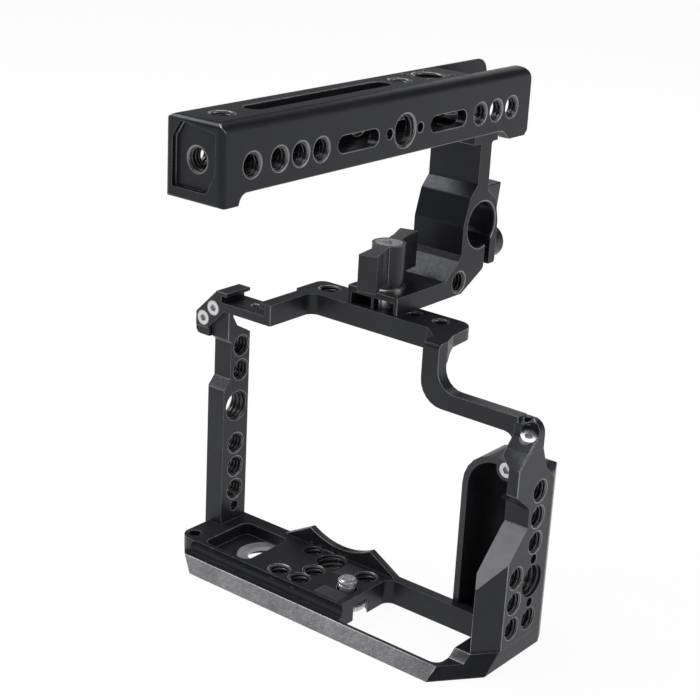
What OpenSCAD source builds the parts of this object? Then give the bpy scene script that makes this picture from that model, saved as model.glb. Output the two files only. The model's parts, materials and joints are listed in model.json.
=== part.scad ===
// Camera cage with a top handle. X runs to the right of the camera's back, Y towards the lens,
// Z up, in millimetres. The origin is the middle of the cage's box, on the plane it stands on.

/* [Cage] */
// Left face of the column
left_x = -57; // [-58:0.5:-56]
// Left face of the base
base_left_x = -55.2; // [-57:0.1:-54.5]
// Left end of the top bar's corner tab
tab_left_x = -63; // [-63.5:0.5:-62.5]
// Outer face of the right side plate
right_x = 63; // [62.5:0.5:63.5]
// Middle plane of the handle, its post and its foot
axis_x = -7.4; // [-9:0.1:-7]
// Radius of a quarter inch tapped hole, at the thread's root
quarter_r = 3.175; // [3.1:0.025:3.3]
// Radius of a three eighths inch tapped hole, at the thread's root
three_eighths_r = 4.76; // [4.6:0.02:4.9]
// Width of the chamfer at the mouth of a tapped hole
mouth = 0.45; // [0.2:0.05:0.6]
// Radius of the small locating holes
locating_r = 1.5; // [1:0.1:1.8]
// Spacing of the tapped holes in the cage
hole_pitch = 8.4; // [8:0.1:8.6]
// Radial clearance of the screws that turn
run_gap = 0.06; // [0.03:0.01:0.1]

/* [Base] */
// Height of the base plate
base_h = 8.15; // [7.8:0.05:8.5]
// Rear foot line of the base
rear_foot_y = -33.5; // [-34:0.1:-33]
// Top rear edge of the slanted strip, Y and Z
strip_top = [-29, 3.4]; // [-35:0.1:35]
// Inner face of the rear rail
rail_in_y = -27.8; // [-28:0.1:-27.5]
// Rear top edge of the deck
deck_rear_y = -26.9; // [-27.5:0.1:-26.5]
// Front face of the deck and of the front rail
deck_front_y = 0.7; // [0.5:0.1:1]
// Right end of the deck
deck_right_x = 14.1; // [13.5:0.1:14.5]
// Thickness of the deck over its recesses
deck_t = 2.9; // [2.5:0.1:3.2]
// Rear face of the front rail
front_rail_y = -3; // [-3.5:0.1:-2.5]
// Radius of the cove in the rear wall
cove_r = 3.6; // [3:0.1:4]
// Middle of the cove, Y and Z
cove_mid = [-29.3, 5.5]; // [-35:0.1:35]
// Left end of the cove
cove_left_x = -47; // [-50:0.5:-44]
// Rear corner of the left foot facet, in X
facet_left_x = -43.6; // [-45:0.1:-42]
// Front end of the left foot facet, in Y
facet_left_y = -20.3; // [-22:0.1:-19]
// Direction of the left foot facet
left_facet_turn = 225; // [215:1:235]
// Upward tilt of the left foot facet
left_facet_tilt = -25; // [-30:1:-15]
// Radius of the rear left ear
ear_r = 4.5; // [4:0.1:5]
// Middle of the ear's strap hole
ear_hole = [-51.9, -22.7]; // [-60:0.1:60]
// Radius of the ear's strap hole
ear_hole_r = 2.1; // [1.8:0.1:2.3]
// Left face of the right block
block_left_x = 51.8; // [51:0.1:52.5]
// Rear edge of the right block at the seam
block_rear_y = -19.4; // [-20:0.1:-19]
// Front face of the right block and side plate
block_front_y = 9.4; // [9:0.1:9.8]
// Height of the seam under the side plate
seam_z = 5.6; // [5.2:0.1:6]
// Rear end of the outer face at the seam
facet_y = -11.6; // [-12:0.1:-10.5]
// Rear end of the base's slanted corner facet at the seam, on the outer face
base_facet_y = -12.4; // [-13:0.1:-11.5]
// Direction of the slanted corner facet of the base
facet_turn = -38; // [-44:1:-34]
// Upward tilt of the slanted corner facet of the base
facet_tilt = 37; // [35:1:44]
// Radius of the corners of the battery opening
opening_r = 3; // [2:0.5:4]
// Feet of the lip in X, left and right
lip_foot_x = [-30.2, 15.8]; // [-40:0.1:40]
// Tips of the lip in X, left and right
lip_tip_x = [-19.7, 5.4]; // [-40:0.1:40]
// Height of the lip's tips
lip_h = 14; // [13:0.1:15]
// Thickness of the lip
lip_t = 2.5; // [2:0.1:3]
// Radius of the lens arc in the lip
lens_r = 24.5; // [24:0.1:26]
// Lowest point of the lens arc, X and Z
lens_low = [-7.2, 10.7]; // [-10:0.1:12]
// Left and right ends of the window
window_x = [-45.2, -26.5]; // [-50:0.1:-20]
// Rear and front ends of the window
window_y = [-25.1, -4.7]; // [-30:0.1:0]
// Radius of the window's corners
window_r = 2.5; // [2:0.1:3]
// Height of the window's floor
window_floor = 4; // [3.5:0.1:4.5]
// Middle of the floor ring
ring_mid = [-30.2, -12.2]; // [-32:0.1:0]
// Outer and inner radius of the floor ring
ring_r = [8.9, 5.6]; // [5:0.1:10]
// Thickness of the floor ring
ring_t = 1.4; // [1:0.1:1.8]
// Tapped holes of the deck: two left ones in X
deck_left_x = [-15.8, -15]; // [-20:0.1:-10]
// Tapped holes of the deck: two left ones in Y
deck_left_y = [-4.6, -22.3]; // [-25:0.1:0]
// Middle column of deck holes in X
deck_mid_x = -6.6; // [-8:0.1:-5]
// Middle column of deck holes in Y, the large one first
deck_mid_y = [-6.3, -15.2, -22.3]; // [-25:0.1:0]
// Right tapped hole of the deck
deck_right = [8.1, -6.9]; // [-20:0.1:20]

/* [Camera screw] */
// Axis of the camera screw
screw_at = [8.5, -17]; // [-20:0.1:20]
// Height of the screw above the deck
screw_out = 3.6; // [3:0.1:4]
// Radius of the screw's head and of its recess
screw_head_r = [6.3, 6.6]; // [6:0.05:7]
// Height of the screw's head
screw_head_h = 2.2; // [2:0.1:2.6]
// Radius of the camera screw's neck, which keeps it in the base
screw_neck_r = 2.5; // [2.3:0.1:2.6]
// Height of the thread's lower end above the deck
neck_rise = 0.4; // [0.3:0.1:0.6]
// Radius of the washer under the deck
screw_washer_r = 5.3; // [5:0.1:5.6]
// Width and depth of the slot in the head
screw_slot = [1.6, 1.1]; // [0.8:0.1:2]
// Thickness of the washer under the deck
screw_washer_t = 0.6; // [0.4:0.1:0.8]
// Rubber pad behind the screw, its middle
pad_a = [7, -23.1]; // [-20:0.1:20]
// Rubber pad in front of the screw, its middle
pad_b = [1.6, -8]; // [-20:0.1:20]
// Width of the rear and of the front rubber pad
pad_w = [9.2, 5.2]; // [4:0.1:10]
// Depth of the rear and of the front rubber pad
pad_l = [5, 8]; // [4:0.1:9]
// Thickness of a rubber pad
pad_t = 0.8; // [0.6:0.1:1.2]

/* [Left column] */
// Right face of the column
column_right_x = -49.8; // [-50:0.1:-49.5]
// Rear and front faces of the column
column_y = [-12.4, -0.7]; // [-13:0.1:0]
// Depth of the notch in the column's rear face
notch_d = 2.8; // [2.5:0.1:3]
// Bottom, slope top and top of the notch
notch_z = [56.5, 59.6, 72.4]; // [56:0.1:73]
// Underside of the corner flange
flange_z = 73.4; // [73:0.1:74]
// Lowest tapped hole of the column
column_low_z = 19.4; // [19:0.1:20]
// Large tapped hole of the column
column_mid_z = 49.6; // [49:0.1:50]
// Upper tapped holes of the column, the lower one
column_top_z = 61.9; // [61.5:0.1:62]
// Middle lines of the column's lower and upper holes in Y
column_hole_y = [-6.1, -4.6]; // [-8:0.1:-4]
// Radius and height of the relief slot at the column's foot
relief = [1.7, 13.2]; // [1:0.1:14]

/* [Top bar] */
// Underside and top of the top bar
bar_z = [83.3, 90.2]; // [83:0.1:91]
// Rear and front faces of the top bar
bar_y = [7.7, 20.6]; // [7:0.1:21]
// Right end of the top bar
bar_right_x = 23.7; // [23:0.1:25]
// Height of the bar's underside at its right end
bar_end_z = 86.4; // [85.5:0.1:87]
// Left and right faces of the leg
leg_x = [-36, -31.2]; // [-37:0.1:-31]
// Left end of the top bar
bar_left_x = -37.8; // [-38:0.1:-37]
// Front radius of the bar's right end
bar_end_r = 6; // [5:0.1:7]
// Holes along the bar in X: the left tapped one and the two small ones
bar_hole_x = [-30.1, 3.9, 14.3]; // [-31:0.1:15]
// Middle line of the holes along the bar
bar_hole_y = 15.3; // [15:0.1:15.6]
// Radius of the two small holes along the bar
bar_small_r = 2.2; // [2:0.1:2.4]
// Thickness of the corner tab and of the drop arm
tab_t = 3.4; // [3:0.1:3.6]
// Floor and lip underside of the cold shoe
shoe_z = [86.15, 88.3]; // [86:0.05:88.6]
// Top of the cold shoe's left lip
shoe_top_z = 89.6; // [89.3:0.1:90]
// Inner faces of the cold shoe
shoe_x = [-52.1, -33.5]; // [-53:0.1:-33]
// Overhang of the cold shoe's lips
shoe_lip = 2.4; // [2:0.1:2.6]
// Front end of the cold shoe
shoe_front_y = -1.4; // [-1.8:0.1:-0.8]
// Left face of the cold shoe's left web
shoe_left_x = -54.5; // [-55:0.1:-54]
// Corner screws in the tab, X
corner_screw_x = [-59.9, -55.6]; // [-61:0.1:-55]
// Corner screws in the tab, Z
corner_screw_z = [79.2, 83.5]; // [79:0.1:84]
// Rear face of the drop arm
arm_rear_y = -2.7; // [-3:0.1:-2.4]
// Thickness of the drop arm
arm_t = 4.3; // [4:0.1:4.6]
// Left and right faces of the drop arm
arm_x = [20.9, 26.9]; // [20:0.1:28]
// Underside and top of the level arm
arm_z = [70.4, 75.9]; // [70:0.1:76.4]
// Outer and inner radius of the arm's lower bend
arm_bend_r = [8, 6.5]; // [6:0.1:9]
// Left face of the end block
end_left_x = 55.2; // [54.9:0.1:55.6]
// Rear and front faces of the end block at the seam
end_y = [-6.4, 1.6]; // [-7:0.1:2]
// Radius of the end block's upper right corner
end_r = 4.2; // [4:0.1:5]
// Height of the end block's slanted face above the seam
end_slant = 3.5; // [3.2:0.1:3.8]
// Fall of the end block's top towards the rear, and how deep it reaches
end_fall = [1.9, 3]; // [1:0.1:4]
// Width of the bright chamfer along the slanted face
end_strip = 0.6; // [0.4:0.1:0.8]
// Seam between the end block and the side plate
end_seam_z = 67.1; // [66.8:0.1:67.4]
// Middle of the end screw's counterbore
end_screw = [60.1, -2.6, 71.2]; // [-80:0.1:80]
// Turn of the end screw's axis about Z
end_turn = -50; // [-54:1:-48]
// Tilt of the end screw's axis
end_tilt = 62; // [58:1:66]
// Middle of the small hole on top of the end block
end_hole = [58.1, -0.6]; // [-60:0.1:60]
// Radius of the small hole on top of the end block
end_hole_r = 1.1; // [0.8:0.1:1.3]

/* [Side plate] */
// Inner face of the side plate
plate_in_x = 54.8; // [54.5:0.1:55]
// Inner face of the side plate's upper tab
plate_tab_x = 59.3; // [59:0.1:59.6]
// Rear edge of the side plate's grip block
grip_rear_y = -19.1; // [-19.3:0.1:-18.9]
// Rear corner of the grip block in X
grip_tip_x = 57; // [56:0.1:58]
// Rear end of the grip block's inner face
grip_in_y = -15.6; // [-17:0.1:-14]
// Lower and upper end of the thumb ledge in Z
ledge_z = [26.3, 41.3]; // [26:0.1:42]
// Upper end of the thumb ledge in Y
ledge_y = -4.6; // [-5:0.1:-4.2]
// Rear face of the thumb recess
recess_y = -2.9; // [-3.2:0.1:-2.6]
// Bottom, top start and top end of the thumb recess in Z
recess_z = [42.6, 49, 54.9]; // [42:0.1:56]
// Rear face of the upper tab
tab_rear_y = -10.4; // [-10.8:0.1:-10]
// Corner of the upper tab's slant, Z
tab_slant_z = 63.1; // [62.8:0.1:63.4]
// Rear end of the seam with the end block
tab_seam_y = -6.4; // [-6.8:0.1:-6]
// Waist of the plate's front edge, Y then Z
plate_waist = [4.4, 60]; // [4:0.1:61]
// Shoulder of the plate's front edge, Y then Z
plate_shoulder = [8.2, 57]; // [8:0.1:58]
// Radius of the plate's front edges
plate_r = 3; // [2:0.5:4]
// Front and rear columns of tapped holes in Y
plate_hole_y = [2.2, -6.7]; // [-7:0.1:3]
// Lowest tapped hole of the side plate
plate_low_z = 11; // [10.5:0.1:11.5]
// Large tapped hole of the side plate
plate_mid_z = 23.7; // [23.5:0.1:24]
// Lowest of the three upper tapped holes
plate_top_z = 36.4; // [36:0.1:37]
// Spacing of the locating holes from the large hole
plate_pin_step = 7.2; // [7:0.1:8]
// Radius and depth of the large hole's counterbore
plate_step = [5.2, 1.2]; // [1:0.1:6]

/* [Grip shell] */
// Left edge of the grip shell
shell_left_x = 37.3; // [37:0.1:38]
// Rear rim of the grip shell
shell_rear_y = -0.5; // [-0.8:0.1:-0.2]
// Front of the grip shell
shell_front_y = 19; // [18:0.1:20]
// Top of the grip shell
shell_top_z = 60.2; // [59:0.1:61]
// Radius of the shell's upper left corner
shell_top_r = 11.5; // [10:0.5:13]
// Radius of the shell's upper front edge
shell_edge_r = 12; // [8:0.5:13]
// Radius of the shell's front corners in plan, left and right
shell_plan_r = [11, 12]; // [8:0.1:12]
// Wall of the grip shell
shell_t = 2; // [1.8:0.1:2.4]
// Screw of the grip shell, X and Z
shell_screw = [52.3, 57.2]; // [50:0.1:58]

/* [Handle] */
// Half the width of the handle bar
handle_half = 10.6; // [10.4:0.1:11]
// Rear and front ends of the handle bar
handle_y = [-73, 73]; // [-75:0.1:74]
// Height of the handle's walls above the rod's axis
post_h = 30.1; // [29:0.1:31]
// Drop of the handle's ends below its walls
handle_drop = 3.1; // [2.8:0.1:3.4]
// Height of the handle bar above its walls' underside
handle_h = 19.6; // [19:0.1:20.2]
// Wall and top thickness of the handle bar
handle_t = [3.6, 4]; // [3:0.1:4.4]
// Radius of the handle bar's long top edges
handle_edge_r = 3.4; // [2.5:0.1:4]
// Radius of the handle bar's rear edges
handle_rear_r = 2; // [1.5:0.1:2.5]
// Radius of the front end of the handle bar's walls
handle_nose_r = 5; // [4:0.5:6]
// Length of the solid rear end of the handle bar
handle_end_l = 6.6; // [6.2:0.1:7]
// Thickness of the floor that closes the handle bar from below
handle_floor_t = 1.6; // [1.2:0.1:2.4]
// Front end of the handle bar's top
handle_top_y = 42.4; // [42:0.1:43]
// Width and depth of the pocket in the rear end
handle_pocket = [15.6, 1.6]; // [1:0.1:17]
// Depth of the holes in the handle's sides below its top
handle_hole_drop = 12.3; // [12:0.1:12.6]
// Spacing of the tapped holes in the handle's sides
handle_pitch = 8.8; // [8.6:0.1:9]
// Rear tapped hole, then the first of the three rear ones and the first of the three front ones
handle_side_y = [-61.4, -50.4, 45]; // [-62:0.1:46]
// Rear and front slot of the handle's sides, rear ends
side_slot_y = [-25.5, 18.6]; // [-26:0.1:19]
// Length and height of the slots in the handle's sides
side_slot = [18.7, 5]; // [4:0.1:19]
// Large tapped hole in the handle's sides
side_mid_y = 5.8; // [5.5:0.1:6]
// Spacing of the small holes from the large side hole
side_pin_step = 7.5; // [7:0.1:8]
// Rear tapped hole, front tapped hole and large hole on the handle's top
top_hole_y = [-62.3, 15.8, 30.2]; // [-63:0.1:31]
// Rear and front ends of the slot on the handle's top
top_slot_y = [-52.5, 9.4]; // [-53:0.1:10]
// Width of the slot on the handle's top
top_slot_w = 6.4; // [6:0.1:6.6]
// Spacing of the four small holes round the large top hole
top_pin_step = [5, 5.4]; // [4.5:0.1:6]

/* [Post] */
// Half the width of the post and of the foot
post_half = 9.8; // [9.5:0.1:10]
// Axis of the rod bore in Y
rod_y = 51.8; // [51:0.1:52.5]
// Height of the rod bore's axis above the top bar
rod_h = 21.6; // [21:0.1:22.4]
// Radius of the rod bore
rod_r = 7.5; // [7.5:0.05:7.6]
// Radius of the barrel round the rod bore, rear and front
barrel_r = [10.2, 9.4]; // [9:0.1:10.5]
// Rear and front faces of the post
post_y = [48, 54.2]; // [47:0.1:55]
// Rear and front ends of the post's head
post_head_y = [44.2, 57.2]; // [43:0.1:58]
// Thickness of the post's head
post_head_t = 2.9; // [2.6:0.1:3]
// Rear and front ends of the foot's underside
foot_y = [8.4, 42.9]; // [8:0.1:43]
// Thickness of the foot
foot_h = 6; // [5.6:0.1:6.4]
// Top plate of the foot over its pockets
foot_t = 2; // [1.8:0.1:2.2]
// Walls of the foot: sides and divider
foot_wall = [1.4, 0.9]; // [0.8:0.1:1.6]
// Front end of the foot's pockets
foot_pocket_y = 24; // [23:0.1:25]
// Gap of the clamp's slit: near and far side from the bore's axis
slit_y = [2.9, 5.8]; // [2:0.1:6]
// Underside of the clamp's jaw below the bore's axis
jaw_drop = 14.5; // [14:0.1:15]
// Corner of the body below the jaw, from the bore's axis in Y and above the top bar
body_low = [2.5, 6.2]; // [2:0.1:7]
// Chamfer behind the barrel in Y, foot and top
chamfer_y = [33.6, 40.4]; // [33:0.1:41]
// Height of the chamfer behind the barrel above the foot
chamfer_h = 5.2; // [5:0.1:5.4]
// Tapped hole in the post's side, from the bore's axis
post_hole = [-10.6, -17.3]; // [-18:0.1:-10]
// Depth of the tapped hole in the post's side
post_hole_d = 9; // [8:0.5:9.5]

/* [Knobs] */
// Axis of the foot's knob, Y
foot_knob_y = 15.4; // [15.2:0.1:15.6]
// Height of the foot's knob above its washer
foot_knob_h = 13.8; // [13:0.1:14.4]
// Radius of the foot knob's hub
foot_hub_r = 5.4; // [5:0.1:5.6]
// Reach of the foot knob's wings
foot_wing_l = 17.6; // [16:0.1:18]
// Thickness of the foot knob's wings at the hub and at the tip
foot_wing_t = [4.4, 6.4]; // [4:0.1:7]
// Turn of the foot knob at rest
foot_wing_turn = 16; // [0:1:30]
// Radius of the foot knob's washer
foot_washer_r = 6; // [5.6:0.1:6.4]
// Height of the clamp screw below the bore's axis
clamp_drop = 11.1; // [11:0.1:11.3]
// Radius of the clamp screw
clamp_r = 1.94; // [1.9:0.02:2]
// Length of the rod clamp's knob in front of its washer
clamp_knob_l = 10.4; // [10:0.1:10.6]
// Radius of the clamp knob's hub
clamp_hub_r = 5.6; // [5:0.1:6]
// Reach of the clamp knob's lever
clamp_wing_l = 20.7; // [19:0.1:21]
// Thickness of the clamp knob's lever at the hub and at the tip
clamp_wing_t = [3.6, 5.4]; // [3:0.1:6]
// Height of the clamp knob's lever along the screw
clamp_wing_h = 9; // [8:0.1:9.6]
// Thickness of the knobs' washers
knob_washer_t = 0.8; // [0.6:0.1:0.8]

/* [Hidden] */
$fn = 48;
over = 1;
far = 80;
arc_steps = 6;
black = "#2b2b2e";
steel = "#c8c8ca";
hairline = 0.05;
small_screw_r = 1.25;
small_head = [2.35, 1.7];
fixing_r = 1.5;
fixing_head = [2.75, 1.9];
hex_share = 0.55;
hex_depth_share = 0.6;
waist_share = 0.55;
screw_r = quarter_r - run_gap;
edge_r = 1;
deck_low_z = base_h - deck_t;
tab_gap = 2.7;
tab_low_z = flange_z + tab_gap;
tab_front_y = column_y[0] + tab_t;
tab_slant_x = -57.8;
tab_slant_end_x = tab_slant_x + bar_z[0] - tab_low_z;
tab_high_z = 80.8;
flange_t = 5.4;
flange_front_y = tab_front_y + flange_t;
column_low_z0 = [74.4, 77.8, 81.1];
column_slope_y = [-6.9, -8.9];
lip_low_x = -57.2;
rod_at = [rod_y, bar_z[1] + rod_h];
foot_top_z = bar_z[1] + foot_h;
handle_z = [rod_at[1] + post_h - handle_drop, rod_at[1] + post_h, rod_at[1] + post_h + handle_h];
handle_hole_z = handle_z[2] - handle_hole_drop;
jaw_y = rod_at[0] + barrel_r[1];
clamp_z = rod_at[1] - clamp_drop;
knob_floor_y = jaw_y + knob_washer_t;
foot_floor_z = foot_top_z + knob_washer_t;
foot_knob_z = foot_floor_z + foot_knob_h;
clamp_knob_y = knob_floor_y + clamp_knob_l;
clamp_screw_back = 5.4;
knob_rim = 1;
wing_gap = 2;
clamp_rim = 2;
foot_x = [axis_x - post_half, axis_x + post_half];
handle_x = [axis_x - handle_half, axis_x + handle_half];
side_screw_at = [[57.4, -14.4], [58.8, 7.1]];
dowel_at = [[58.9, -2.3], [58.2, -10.7]];
dowel_r = 1;
dowel_z = [2.6, 8.2];
shell_boss = [49.6, 13.2];
shell_boss_r = 3.4;
shell_lug_l = 3;
shell_lug_h = 8.15;
fixing_l = 12.75;
plate_lug_l = 5;
roll_r = 1.8;
shell_side_r = 6;
tab_cut_z = 51.5;
tab_step_z = 65.4;
web_h = 4.2;
web_top_z = handle_z[1] + web_h;
handle_screw_step = 5.2;
handle_screw_x = [axis_x - handle_screw_step, axis_x + handle_screw_step];
handle_screw_y = (post_y[0] + post_y[1]) / 2;
handle_screw_l = 7.9;
handle_screw_z = handle_z[1] - handle_screw_l;
pin_r = 1;
end_screw_l = 9;
plate_lug_r = 2.2;
counterbore_r = 2.9;
strip_turn = -35.3;
strip_tilt = 30;
tapped_r = 2;
tapped_head = [3.5, 2.6];

// Outline with rounded corners: each point is X, Y and the corner's radius
function unit(v) = v / norm(v);
function corner(a, p, b) =
    let (r = p[2], m = [p[0], p[1]], u = unit([a[0], a[1]] - m), v = unit([b[0], b[1]] - m),
         half = acos(u * v) / 2, c = m + unit(u + v) * r / sin(half),
         s = m + u * r / tan(half) - c, e = m + v * r / tan(half) - c,
         turn = atan2(s[0] * e[1] - s[1] * e[0], s * e))
    r == 0 ? [m] : [for (i = [0 : arc_steps]) let (w = turn * i / arc_steps)
        c + [s[0] * cos(w) - s[1] * sin(w), s[0] * sin(w) + s[1] * cos(w)]];
function soft(points) = let (n = len(points))
    [for (i = [0 : n - 1]) each corner(points[(i + n - 1) % n], points[i], points[(i + 1) % n])];

// Extrusions between two planes along each axis; outlines along X are drawn as Y and Z
module along_x(a, b) translate([a, 0, 0]) rotate([90, 0, 90]) linear_extrude(b - a) children();
module along_y(a, b) translate([0, b, 0]) rotate([90, 0, 0]) linear_extrude(b - a) children();
module along_z(a, b) translate([0, 0, a]) linear_extrude(b - a) children();

// Placements that send the local Z axis along each direction
module to_x(p) translate(p) rotate([0, 90, 0]) children();
module from_x(p) translate(p) rotate([0, -90, 0]) children();
module to_y(p) translate(p) rotate([-90, 0, 0]) children();
module from_y(p) translate(p) rotate([90, 0, 0]) children();
module down(p) translate(p) rotate([180, 0, 0]) children();

// Everything on the outer side of a plane through p, whose normal has this turn and tilt
module beyond(p, turn, tilt) translate(p) rotate([0, -tilt, turn])
    translate([0, -far, -far]) cube([far, 2 * far, 2 * far]);

// Chamfered mouth of a hole, opening towards minus Z
module countersink(r) translate([0, 0, -over])
    cylinder(r1 = r + mouth + over, r2 = r, h = mouth + over);

// Tapped hole from its mouth at the origin along Z, blind or through with both mouths
module blind_hole(r, l) {
    cylinder(r = r, h = l);
    countersink(r);
}
module through_hole(r, l) {
    translate([0, 0, -over]) cylinder(r = r, h = l + 2 * over);
    countersink(r);
    translate([0, 0, l]) mirror([0, 0, 1]) countersink(r);
}

// Plain hole through l with overrun at both ends
module drill(r, l) translate([0, 0, -over]) cylinder(r = r, h = l + 2 * over);

// Material left in a concave corner, drawn from the corner at the origin
module web(r) difference() {
    square(r);
    translate([r, r]) circle(r);
}

// Slot with round ends, drawn along X from the middle of its first end
module slot_outline(l, w) {
    square_l = l - w;
    translate([0, -w / 2]) square([square_l, w]);
    circle(w / 2);
    translate([square_l, 0]) circle(w / 2);
}

// Socket head screw: the head's top is at the origin, and the screw runs along Z
module socket_screw(head, shank_r, l) difference() {
    union() {
        cylinder(r = head[0], h = head[1]);
        cylinder(r = shank_r, h = l);
    }
    translate([0, 0, -over]) cylinder(r = head[0] * hex_share, h = head[1] * hex_depth_share + over, $fn = 6);
}

// Pocket and shank hole for a socket screw whose head's top lies sunk below the surface
module screw_hole(head, shank_r, l, sunk) {
    translate([0, 0, -sunk - over]) cylinder(r = head[0] + hairline, h = head[1] + sunk + over);
    cylinder(r = shank_r + hairline, h = l);
}

// Outline of the grip shell in plan, drawn in by d, from the rear line y0
module shell_plan(d, y0) polygon(soft([[shell_left_x + d, y0, 0],
    [shell_left_x + d, shell_front_y - d, shell_plan_r[0] - d],
    [right_x - d, shell_front_y - d, shell_plan_r[1] - d], [right_x - d, y0, 0]]));

// Outline of the side plate seen along X, drawn as Y and Z
module plate_outline() polygon(soft([[grip_rear_y, seam_z, 0], [grip_rear_y, ledge_z[0], 1],
    [ledge_y, ledge_z[1], 1], [recess_y, recess_z[0], 0], [recess_y, recess_z[1], 2],
    [tab_rear_y, recess_z[2], 0], [tab_rear_y, tab_slant_z, 0], [tab_seam_y, end_seam_z, 0],
    [end_y[1], end_seam_z, 0], [plate_waist[0], plate_waist[1], 2],
    [plate_shoulder[0], plate_shoulder[1], 0], [block_front_y, recess_z[2], 0],
    [block_front_y, seam_z, 0]]));

module shell_solid(d) intersection() {
    along_z(seam_z - d, shell_top_z + over) shell_plan(d, shell_rear_y - d);
    along_y(shell_rear_y - d, shell_front_y) polygon(soft([[shell_left_x + d, seam_z - d, 0],
        [shell_left_x + d, shell_top_z - d, shell_top_r - d],
        [right_x - d, shell_top_z - d, shell_side_r - d],
        [right_x - d, seam_z - d, 0]]));
    along_x(shell_left_x, right_x) polygon(soft([[shell_rear_y - d, seam_z - d, 0],
        [shell_rear_y - d, shell_top_z - d, 0], [shell_front_y - d, shell_top_z - d, shell_edge_r - d],
        [shell_front_y - d, seam_z - d, 0]]));
}

// Outline of the corner tab seen along Y, drawn as X and Z
module tab_outline() polygon([[tab_left_x, tab_low_z], [tab_slant_x, tab_low_z],
    [tab_slant_end_x, bar_z[0]], [tab_slant_end_x, shoe_z[0]], [shoe_x[0], shoe_z[0]],
    [shoe_x[0], shoe_top_z], [tab_left_x + shoe_top_z - tab_high_z, shoe_top_z], [tab_left_x, tab_high_z]]);

module column() {
    along_x(left_x, column_right_x) polygon([[column_y[1], base_h - over], [column_y[0], base_h - over],
        [column_y[0], notch_z[0]], [column_y[0] + notch_d, notch_z[1]],
        [column_y[0] + notch_d, notch_z[2]], [column_y[0] + notch_d / 2, flange_z],
        [column_y[0] + notch_d / 2, bar_z[0]], [tab_front_y, bar_z[0]],
        [column_slope_y[1], column_low_z0[2]], [column_slope_y[0], column_low_z0[1]],
        [column_y[1], column_low_z0[0]]]);
    along_y(tab_front_y, flange_front_y) polygon(soft([[tab_left_x, flange_z, 2],
        [left_x + edge_r, flange_z, 0], [left_x + edge_r, bar_z[0], 0], [shoe_left_x, bar_z[0], 0],
        [shoe_left_x, tab_high_z + shoe_left_x - tab_left_x, 0], [tab_left_x, tab_high_z, 0]]));
    along_y(column_y[0], flange_front_y) polygon(soft([[tab_left_x, flange_z, 2],
        [lip_low_x, flange_z, 0], [lip_low_x, tab_low_z, 0], [tab_left_x, tab_low_z, 0]]));
}

module column_holes() {
    l = column_right_x - left_x;
    for (i = [0 : 2]) to_x([left_x, column_hole_y[0], column_low_z + i * hole_pitch])
        through_hole(quarter_r, l);
    for (i = [0, 1]) to_x([left_x, column_hole_y[1], column_top_z + i * hole_pitch])
        through_hole(quarter_r, l);
    to_x([left_x, column_hole_y[0], column_mid_z]) through_hole(three_eighths_r, l);
    from_x([column_right_x + over, column_hole_y[0], relief[1]])
        cylinder(r = relief[0], h = relief[0] + over);
}

module base_body() {
    // deck with its wall, strip and ear
    difference() {
        along_z(strip_top[1] - over, base_h) polygon(soft([[base_left_x, deck_front_y, 0],
            [base_left_x, deck_rear_y, ear_r], [deck_right_x, deck_rear_y, edge_r],
            [deck_right_x, deck_front_y, 0]]));
        to_x([cove_left_x, cove_mid[0], cove_mid[1]]) cylinder(r = cove_r, h = far);
        translate([cove_left_x, cove_mid[0], cove_mid[1]]) sphere(r = cove_r);
    }
    along_z(0, strip_top[1]) polygon([[base_left_x, deck_front_y],
        [base_left_x, rear_foot_y], [deck_right_x, rear_foot_y], [deck_right_x, deck_front_y]]);
    // rear rail, front rail and the webs in the corners of the battery opening
    translate([deck_right_x, rear_foot_y, 0])
        cube([right_x - deck_right_x, rail_in_y - rear_foot_y, strip_top[1]]);
    translate([deck_right_x, front_rail_y, 0])
        cube([plate_in_x - deck_right_x, deck_front_y - front_rail_y, base_h]);
    translate([deck_right_x, front_rail_y]) mirror([0, 1, 0]) along_z(0, base_h) web(opening_r);
    translate([deck_right_x, rail_in_y]) along_z(0, strip_top[1]) web(edge_r);
    translate([block_left_x, rail_in_y]) mirror([1, 0, 0]) along_z(0, strip_top[1]) web(opening_r);
    translate([block_left_x, front_rail_y]) rotate([0, 0, 180]) along_z(0, seam_z) web(opening_r);
    // right block, its ramp to the rail, and the shelf under the grip shell
    translate([block_left_x, block_rear_y, 0])
        cube([right_x - block_left_x, block_front_y - block_rear_y, seam_z]);
    along_x(block_left_x, right_x) polygon([[rail_in_y - over, 0], [rail_in_y - over, strip_top[1]],
        [block_rear_y - opening_r, strip_top[1]], [block_rear_y, seam_z], [block_rear_y, 0]]);
    along_z(0, seam_z) shell_plan(0, front_rail_y);
    // lip with the lens arc
    difference() {
        along_y(deck_front_y - lip_t, deck_front_y) polygon([[lip_foot_x[0], base_h - over],
            [lip_foot_x[0], base_h], [lip_tip_x[0], lip_h], [lip_tip_x[1], lip_h],
            [lip_foot_x[1], base_h], [lip_foot_x[1], base_h - over]]);
        to_y([lens_low[0], deck_front_y - lip_t, lens_low[1] + lens_r]) drill(lens_r, lip_t, $fn = 96);
    }
    column();
}

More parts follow.
